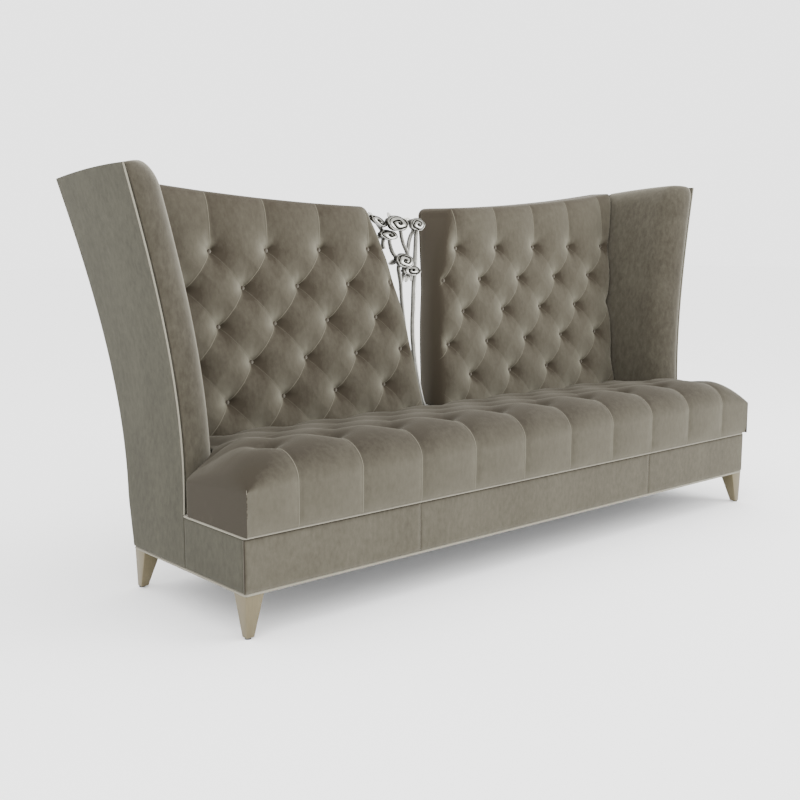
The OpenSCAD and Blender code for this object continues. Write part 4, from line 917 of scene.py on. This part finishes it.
edge_x, front_y, rear_edge_y = HALF_W - WELT_R, FRONT + WELT_R, FRONT + BASE_D - WELT_R
level = LEG_H + WELT_R
corners = [Vector((-edge_x, front_y, level)), Vector((edge_x, front_y, level)),
           Vector((edge_x, rear_edge_y, level)), Vector((-edge_x, rear_edge_y, level))]
bm = bmesh.new()
cord(bm, rounded(corners, WELT_TURN, True), WELT_R, UP, closed=True)
seam_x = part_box("front_band_centre")[1].x
seam_rows = [lerp(LEG_H + 2 * WELT_R, BAND_TOP - WELT_R, k / 6) for k in range(7)]
for x in (-seam_x, seam_x):
    cord(bm, [Vector((x, FRONT + SEAM_SET, z)) for z in seam_rows], SEAM_R, ACROSS)
piece("welt_base", bm, welt_velvet, "welt", "base_welt")

corners = [Vector((-edge_x, FRONT + WING_Y, BAND_TOP)), Vector((-edge_x, front_y, BAND_TOP)),
           Vector((edge_x, front_y, BAND_TOP)), Vector((edge_x, FRONT + WING_Y, BAND_TOP))]
bm = bmesh.new()
cord(bm, rounded(corners, WELT_TURN, False), WELT_R, UP)
seam_shares = [lerp(0, 1.06, k / 12) for k in range(13)]
for x in (SEAM_SET - HALF_W, HALF_W - SEAM_SET):
    cord(bm, [Vector((x, FRONT + SEAT_SEAM_SET - seat_nose(up), lerp(SEAT_BOTTOM, SEAT_EDGE_H, up)))
              for up in seam_shares], SEAM_R, ACROSS)
piece("welt_seat", bm, welt_velvet, "welt", "seat_welt")

welt_rows = [lerp(WING_FOOT, WING_H - TOP_SLACK, k / 48) for k in range(49)]
for side, turned_over in HALVES:
    bm = bmesh.new()
    path = [Vector((wing_x(z) - WING_WELT_IN, FRONT + wing_front(z) - WING_WELT_OUT, z)) for z in welt_rows]
    cord(bm, path, WING_WELT_R, ACROSS)
    piece("welt_wing_" + side, bm, welt_velvet, "welt", "wing_welt_" + side, mirror=turned_over)


# Legs. Square tapered hardwood in champagne metallic lacquer over a faint grain, each bolted to a steel plate
# under a corner of the base.
champagne_lacquer, tree, bsdf = finish("champagne_lacquer", 0.42, 0.3)
where = add(tree, "ShaderNodeTexCoord").outputs["Object"]
drawn = add(tree, "ShaderNodeMapping", {"Vector": where, "Scale": (60, 60, 5)}).outputs[0]
grain = add(tree, "ShaderNodeTexNoise", {"Vector": drawn, "Scale": 6, "Detail": 5, "Roughness": 0.6})
lacquer = blend(tree, grain.outputs["Fac"], (0.085, 0.069, 0.036, 1), (0.145, 0.120, 0.066, 1))
tree.links.new(lacquer, bsdf.inputs["Base Color"])
bump = add(tree, "ShaderNodeBump", {"Strength": 0.2, "Distance": 0.0005, "Height": grain.outputs["Fac"]})
tree.links.new(bump.outputs["Normal"], bsdf.inputs["Normal"])
LEG_EDGE, SHARP_TURN, SHARP_LENGTH = 0.0016, radians(60), 0.02
for name in ("front_leg_left", "front_leg_right", "back_leg_left", "back_leg_right"):
    bm = bmesh.new()
    bm.from_mesh(nodes[name].data)
    bm.transform(nodes[name].matrix_world)
    bmesh.ops.remove_doubles(bm, verts=bm.verts, dist=0.00001)
    bmesh.ops.dissolve_limit(bm, angle_limit=radians(1), verts=bm.verts, edges=bm.edges)
    sharp = [e for e in bm.edges
             if e.is_manifold and e.calc_face_angle() > SHARP_TURN and e.calc_length() > SHARP_LENGTH]
    bmesh.ops.bevel(bm, geom=sharp, offset=LEG_EDGE, segments=3, profile=0.5, affect="EDGES", material=-1)
    piece("tapered_" + name, bm, champagne_lacquer, "leg", name)


# Inside. The hidden beech frame, the webbing, the springs and the fixings are screwed, tacked and clipped
# together. They keep their built shapes and get plain finishes.
def plain(name, colour, roughness, metallic, *parts):
    material = finish(name, roughness, metallic, colour)[0]
    for part in parts:
        nodes[part].data.materials[0] = material


plain("beech", (0.45, 0.29, 0.15), 0.6, 0, "front_rail", "back_rail", "end_rails", "cross_rails",
      "corner_blocks", "back_frame_left", "back_frame_right", "wing_frame_left", "wing_frame_right")
plain("jute", (0.33, 0.24, 0.13), 0.9, 0, "back_webbing_left", "back_webbing_right")
plain("felt", (0.55, 0.53, 0.48), 0.95, 0, "felt_pad")
plain("cambric", (0.02, 0.02, 0.02), 0.9, 0, "dust_cover")
plain("spring_steel", (0.25, 0.25, 0.26), 0.4, 1, "seat_springs")
plain("zinc_steel", (0.55, 0.55, 0.53), 0.35, 1, "spring_clips", "leg_plates", "leg_bolts", "rose_brackets",
      "rose_screws")
plain("nylon", (0.03, 0.03, 0.03), 0.5, 0, "leg_glides")


# Carved roses. Hardwood carved as six open roses on bent stems, silver leafed and rubbed dark in the grooves,
# with painted highlights on the petals' lower rims and on one side of each stem's face, and painted shade on
# the stems' edges. The stems are screwed to a small plate on the sill of the gap.
silver_leaf, tree, bsdf = finish("silver_leaf", 0.35, 0.6)
worn_share, worn_middle = 0.3, 0.15
where = add(tree, "ShaderNodeTexCoord").outputs["Object"]
spots = add(tree, "ShaderNodeTexNoise", {"Vector": where, "Scale": 45, "Detail": 5, "Roughness": 0.6})
patina_and_painted_light = add(tree, "ShaderNodeAttribute", attribute_name="patina_and_painted_light").outputs["Fac"]
# Worn spots from noise, added to the carving's tones: rubbed-dark grooves, painted highlights and painted
# shade.
wear_and_painted_light = reckon(tree, "MULTIPLY_ADD", spots.outputs["Fac"], worn_share, patina_and_painted_light)
wear_and_painted_light = reckon(tree, "SUBTRACT", wear_and_painted_light, worn_middle)
tone = add(tree, "ShaderNodeValToRGB", {"Fac": wear_and_painted_light})
tone.color_ramp.elements[0].color = (0.85, 0.84, 0.79, 1)
tone.color_ramp.elements[1].position = 0.85
tone.color_ramp.elements[1].color = (0.010, 0.009, 0.006, 1)
for position, colour in ((0.28, (0.22, 0.217, 0.195, 1)), (0.55, (0.065, 0.062, 0.052, 1))):
    tone.color_ramp.elements.new(position).color = colour
tree.links.new(tone.outputs["Color"], bsdf.inputs["Base Color"])
ROSE_SET, ROSE_R, ROSE_T, STEM_R = 0.046, 0.048, 0.026, 0.008
MAIN_STEM_W, SIDE_STEM_W, STEM_HOLLOW = 1.15 * STEM_R, 0.75 * STEM_R, 0.0012
STEM_FOOT, ON_STEMS = 0.0036, 0.0003
STEM_HIGHLIGHT, STEM_TONE, STEM_SIDE_SHADE = 0.0, 0.43, 0.8
GAP_RISE = BACK_MID_H - GAP_FOOT_H
# Spots along each stem: shares of half the gap's width, of its height, and of a rose's thickness forwards.
MAIN_STEM = ((0.375, 0.91, 0), (0.364, 0.88, 0), (0.312, 0.81, 0), (0.25, 0.724, 0), (0.192, 0.651, 0),
             (0.13, 0.565, 0), (0.091, 0.501, 0), (0.046, 0.44, 0), (0.008, 0.369, 0), (-0.003, 0.315, 0),
             (-0.013, 0.25, 0), (-0.005, 0.18, 0), (0.017, 0.103, 0), (0.05, 0.04, 0), (0.077, 0, 0))
LEFT_STEM = ((-0.22, 0.735, 0.985), (-0.25, 0.715, 0.985), (-0.255, 0.695, 0.85), (-0.21, 0.66, 0.5),
             (-0.17, 0.62, 0.2), (-0.16, 0.564, 0), (-0.165, 0.52, 0), (-0.163, 0.407, 0), (-0.134, 0.271, 0),
             (-0.086, 0.136, 0), (-0.057, 0, 0))
SIDE_STEMS = (
    ((-0.33, 0.872, 0), (-0.305, 0.845, 0), (-0.298, 0.8185, 0), (-0.306, 0.796, 0.2), (-0.314, 0.775, 0.6),
     (-0.29, 0.755, 0.985), (-0.22, 0.745, 0.985)),
    ((-0.13, 0.9, 0.985), (-0.116, 0.877, 0.985), (-0.108, 0.853, 0.95), (-0.07, 0.818, 0.85),
     (-0.025, 0.789, 0.85), (-0.02, 0.765, 0.985), (-0.08, 0.748, 0.985)),
    ((0.3, 0.905, 0), (0.278, 0.883, 0), (0.209, 0.864, 0.1), (0.139, 0.841, 0.3), (0.073, 0.814, 0.55),
     (0.01, 0.785, 0.85), (-0.01, 0.765, 0.985), (-0.08, 0.75, 0.985)),
    ((-0.03, 0.68, 0), (-0.06, 0.668, 0), (-0.1, 0.648, 0), (-0.135, 0.625, 0), (-0.16, 0.59, 0)),
    ((-0.4, 0.872, 0), (-0.48, 0.9, 0), (-0.56, 0.93, 0)),
    ((-0.42, 0.865, 0), (-0.452, 0.836, 0), (-0.462, 0.815, 0), (-0.445, 0.797, 0)))


def ornament_y(z):
    """The plane of the stems, which leans with the back."""
    return FRONT + rear_y(z) - ROSE_SET


def stem_place(spot):
    """The place of a spot on a stem. The lowest one stands on the foot plate."""
    z = max(GAP_FOOT_H + spot[1] * GAP_RISE, GAP_FOOT_H + STEM_FOOT)
    return Vector((spot[0] * GAP_TOP, ornament_y(z) - spot[2] * ROSE_T, z))


def along_path(spots, t):
    """A point at share t of a smooth path through the spots."""
    i = min(int(t * (len(spots) - 1)), len(spots) - 2)
    f = t * (len(spots) - 1) - i
    a, b, c, d = (spots[min(max(i + k, 0), len(spots) - 1)] for k in (-1, 0, 1, 2))
    bend, twist = 2 * a - 5 * b + 4 * c - d, 3 * b - a - 3 * c + d
    return 0.5 * (2 * b + (c - a) * f + bend * f * f + twist * f ** 3)


def toned(bm, tones):
    """Marks each point's tone in the carving, from 0, pale, to 1, dark: the grooves rubbed dark, and painted
    highlights and painted shade on the petals' rims and the stems.
    """
    patina_and_painted_light = bm.verts.layers.float.new("patina_and_painted_light")
    for v, value in zip(bm.verts, tones):
        v[patina_and_painted_light] = value


def ribbon(table, half_w):
    """A carved stem: a flat bar with rounded edges and a shallow hollow down its face."""
    spots = [stem_place(spot) for spot in table]
    tones = []

    def place(s, t):
        here, step = along_path(spots, t), 0.01
        along = (along_path(spots, min(t + step, 1)) - along_path(spots, max(t - step, 0))).normalized()
        if t > 0.999 and table[-1][1] == 0:
            along = Vector((0, 0, -1))
        back = (Vector((0, 1, 0)) - along.y * along).normalized()
        side = along.cross(back)
        a = 2 * pi * s
        hollow = STEM_HOLLOW * exp(-(cos(a) / 0.35) ** 2) * (sin(a) < 0)
        round_to = (abs(cos(a)) ** 3 + abs(sin(a)) ** 3) ** (-1 / 3)
        hidden = abs(cos(a)) > 0.93 or sin(a) > 0
        # Painted highlight on one side of the stem's face, painted shade on its edges and back, mid tone
        # between.
        tones.append(STEM_SIDE_SHADE if hidden else STEM_HIGHLIGHT if side.x * cos(a) > 0.35 else STEM_TONE)
        return here + half_w * cos(a) * round_to * side + (STEM_R * 0.96 * sin(a) * round_to + hollow) * back

    bm = cover(32, 7 * (len(spots) - 1), place)
    toned(bm, tones)
    seal(bm)
    return bm


def join(bm, part):
    """Adds a finished part to the piece that it belongs to."""
    mesh = bpy.data.meshes.new("part")
    part.to_mesh(mesh)
    bm.from_mesh(mesh)
    part.free()
    bpy.data.meshes.remove(mesh)


bm = bmesh.new()
join(bm, ribbon(MAIN_STEM, MAIN_STEM_W))
for table in (LEFT_STEM, *SIDE_STEMS):
    join(bm, ribbon(table, SIDE_STEM_W))
piece("carved_stems", bm, silver_leaf, "silver_leaf", "rose_stems")


ROSE_FACE, ROSE_RIM, ROSE_RIM_W = 0.86, 0.9, 0.09
ROSE_LOW, ROSE_DOME, ROSE_PETAL, ROSE_ROUNDED = 0.34, 0.26, 0.40, 0.12
PETAL_MIDDLE, PETAL_HALF, PETAL_WAVE, SPIRAL_END, SPIRAL_FADE = 0.5, 0.42, 0.07, 0.84, 0.08
LOBE_DEPTH, PETAL_DARK, PETAL_HIGHLIGHT, BACK_TONE = 0.1, 0.36, -0.1, 0.95


def rose(name, across, up, half_w, half_h, tilt, layer, turns, phase):
    """A rose as a spiral of rolled petal edges over a low dome, with a lobed rim and a flat back."""
    width, height = half_w * ROSE_R, half_h * ROSE_R
    thick = ROSE_T * min(1, 0.35 + 0.65 * half_w)
    centre_x, centre_z = across * GAP_TOP, GAP_FOOT_H + up * GAP_RISE
    lean, spun = radians(tilt), radians(phase)
    rose_tones = []

    def place(s, t):
        a = 2 * pi * s
        r = min(t / ROSE_FACE, 1)
        turn = (turns * r * (1 + PETAL_WAVE * cos(4 * a + spun)) - s + phase / 360) % 1
        rim = exp(-((r - ROSE_RIM) / ROSE_RIM_W) ** 2)
        petal = exp(-((turn - PETAL_MIDDLE) / PETAL_HALF) ** 8) * clamp(7 * r - 0.3)
        ridge = max(petal * clamp((SPIRAL_END - r) / SPIRAL_FADE), rim)
        relief = ROSE_LOW + ROSE_DOME * (1 - r * r) + ROSE_PETAL * ridge
        relief -= ROSE_ROUNDED * clamp((r - 0.95) / 0.05)
        out = thick * relief
        if t > ROSE_FACE:
            back = (t - ROSE_FACE) / (1 - ROSE_FACE)
            r, out = (1, thick * relief * (1 - back / 0.5)) if back < 0.5 else (1 - 1.99 * (back - 0.5), 0)
        lobe = 1 - LOBE_DEPTH * clamp(4 * r - 3) * abs(cos(2.5 * a + spun)) ** 4
        u, v = width * r * lobe * cos(a), height * r * lobe * sin(a)
        z = centre_z + u * sin(lean) + v * cos(lean)
        x = centre_x + u * cos(lean) - v * sin(lean)
        # Painted highlight on the lower flanks of the petal ridges and rim; the grooves between stay rubbed
        # dark.
        lower = clamp(0.25 - 1.4 * sin(a)) * (1 if r > SPIRAL_END else exp(-((turn - 0.4) / 0.2) ** 2))
        tone = clamp(lerp(1, lerp(PETAL_DARK, PETAL_HIGHLIGHT, lower), ridge))
        rose_tones.append(tone if t < 0.85 else BACK_TONE)
        return Vector((x, ornament_y(z) - STEM_R - ON_STEMS - layer * ROSE_T - out, z))

    bm = cover(96, 60, place)
    toned(bm, rose_tones)
    seal(bm)
    piece("carved_" + name, bm, silver_leaf, "silver_leaf", name)


rose("rose_high_left", -0.581, 0.933, 0.84, 0.31, -29, 0, 1.6, 40)
rose("rose_high_centre", -0.26, 0.922, 1.1, 0.61, -8, 1, 2, 200)
rose("rose_high_right", 0.322, 0.919, 0.78, 0.52, 0, 0, 2, 90)
rose("rose_tucked", -0.389, 0.866, 0.92, 0.41, -8, 0, 1.4, 150)
rose("rose_low_left", -0.187, 0.739, 0.94, 0.56, -8, 1, 2, 20)
rose("rose_low_right", 0.058, 0.687, 0.95, 0.42, -4, 0, 1.6, 300)

# Each leaf: its foot as shares of the gap, its direction, its length and half width, and its layer.
LEAVES = ((-0.235, 0.739, 196, 0.9, 0.16, 0.36), (0.22, 0.93, 165, 0.62, 0.22, 0),
          (0.03, 0.67, 240, 0.7, 0.16, 0), (0.1, 0.672, 262, 0.6, 0.14, 0), (-0.5, 0.862, 200, 0.55, 0.15, 0),
          (-0.66, 0.95, 130, 0.5, 0.16, 0), (-0.1, 0.93, 20, 0.6, 0.17, 1), (-0.33, 0.94, 120, 0.62, 0.16, 1))
LEAF_T, LEAF_W = ROSE_T / 5, 1.3 * ROSE_R
LEAF_BACK, LEAF_EDGE, LEAF_FACE = 0.6, 0.45, 0.2
bm = bmesh.new()
for across, up, way, length, half_w, layer in LEAVES:
    ahead = Vector((cos(radians(way)), 0, sin(radians(way))))
    beside = Vector((ahead.z, 0, -ahead.x))

    def place(s, t):
        a = 2 * pi * s
        wide = half_w * LEAF_W * sin(pi * lerp(0.15, 0.93, t)) ** 0.6
        spot = length * ROSE_R * t * ahead + wide * cos(a) * beside
        x, z = across * GAP_TOP + spot.x, GAP_FOOT_H + up * GAP_RISE + spot.z
        vein = 0.35 * exp(-(cos(a) / 0.2) ** 2) * (sin(a) > 0)
        lift = LEAF_T * (0.5 + (0.5 - vein) * sin(a))
        tones.append(LEAF_BACK if sin(a) < -0.1 else LEAF_EDGE if abs(cos(a)) < 0.15 else LEAF_FACE)
        return Vector((x, ornament_y(z) - STEM_R + LEAF_T - layer * ROSE_T - lift, z))

    tones = []
    part = cover(24, 12, place)
    toned(part, tones)
    seal(part)
    join(bm, part)
piece("carved_leaves", bm, silver_leaf, "silver_leaf", "rose_leaves")
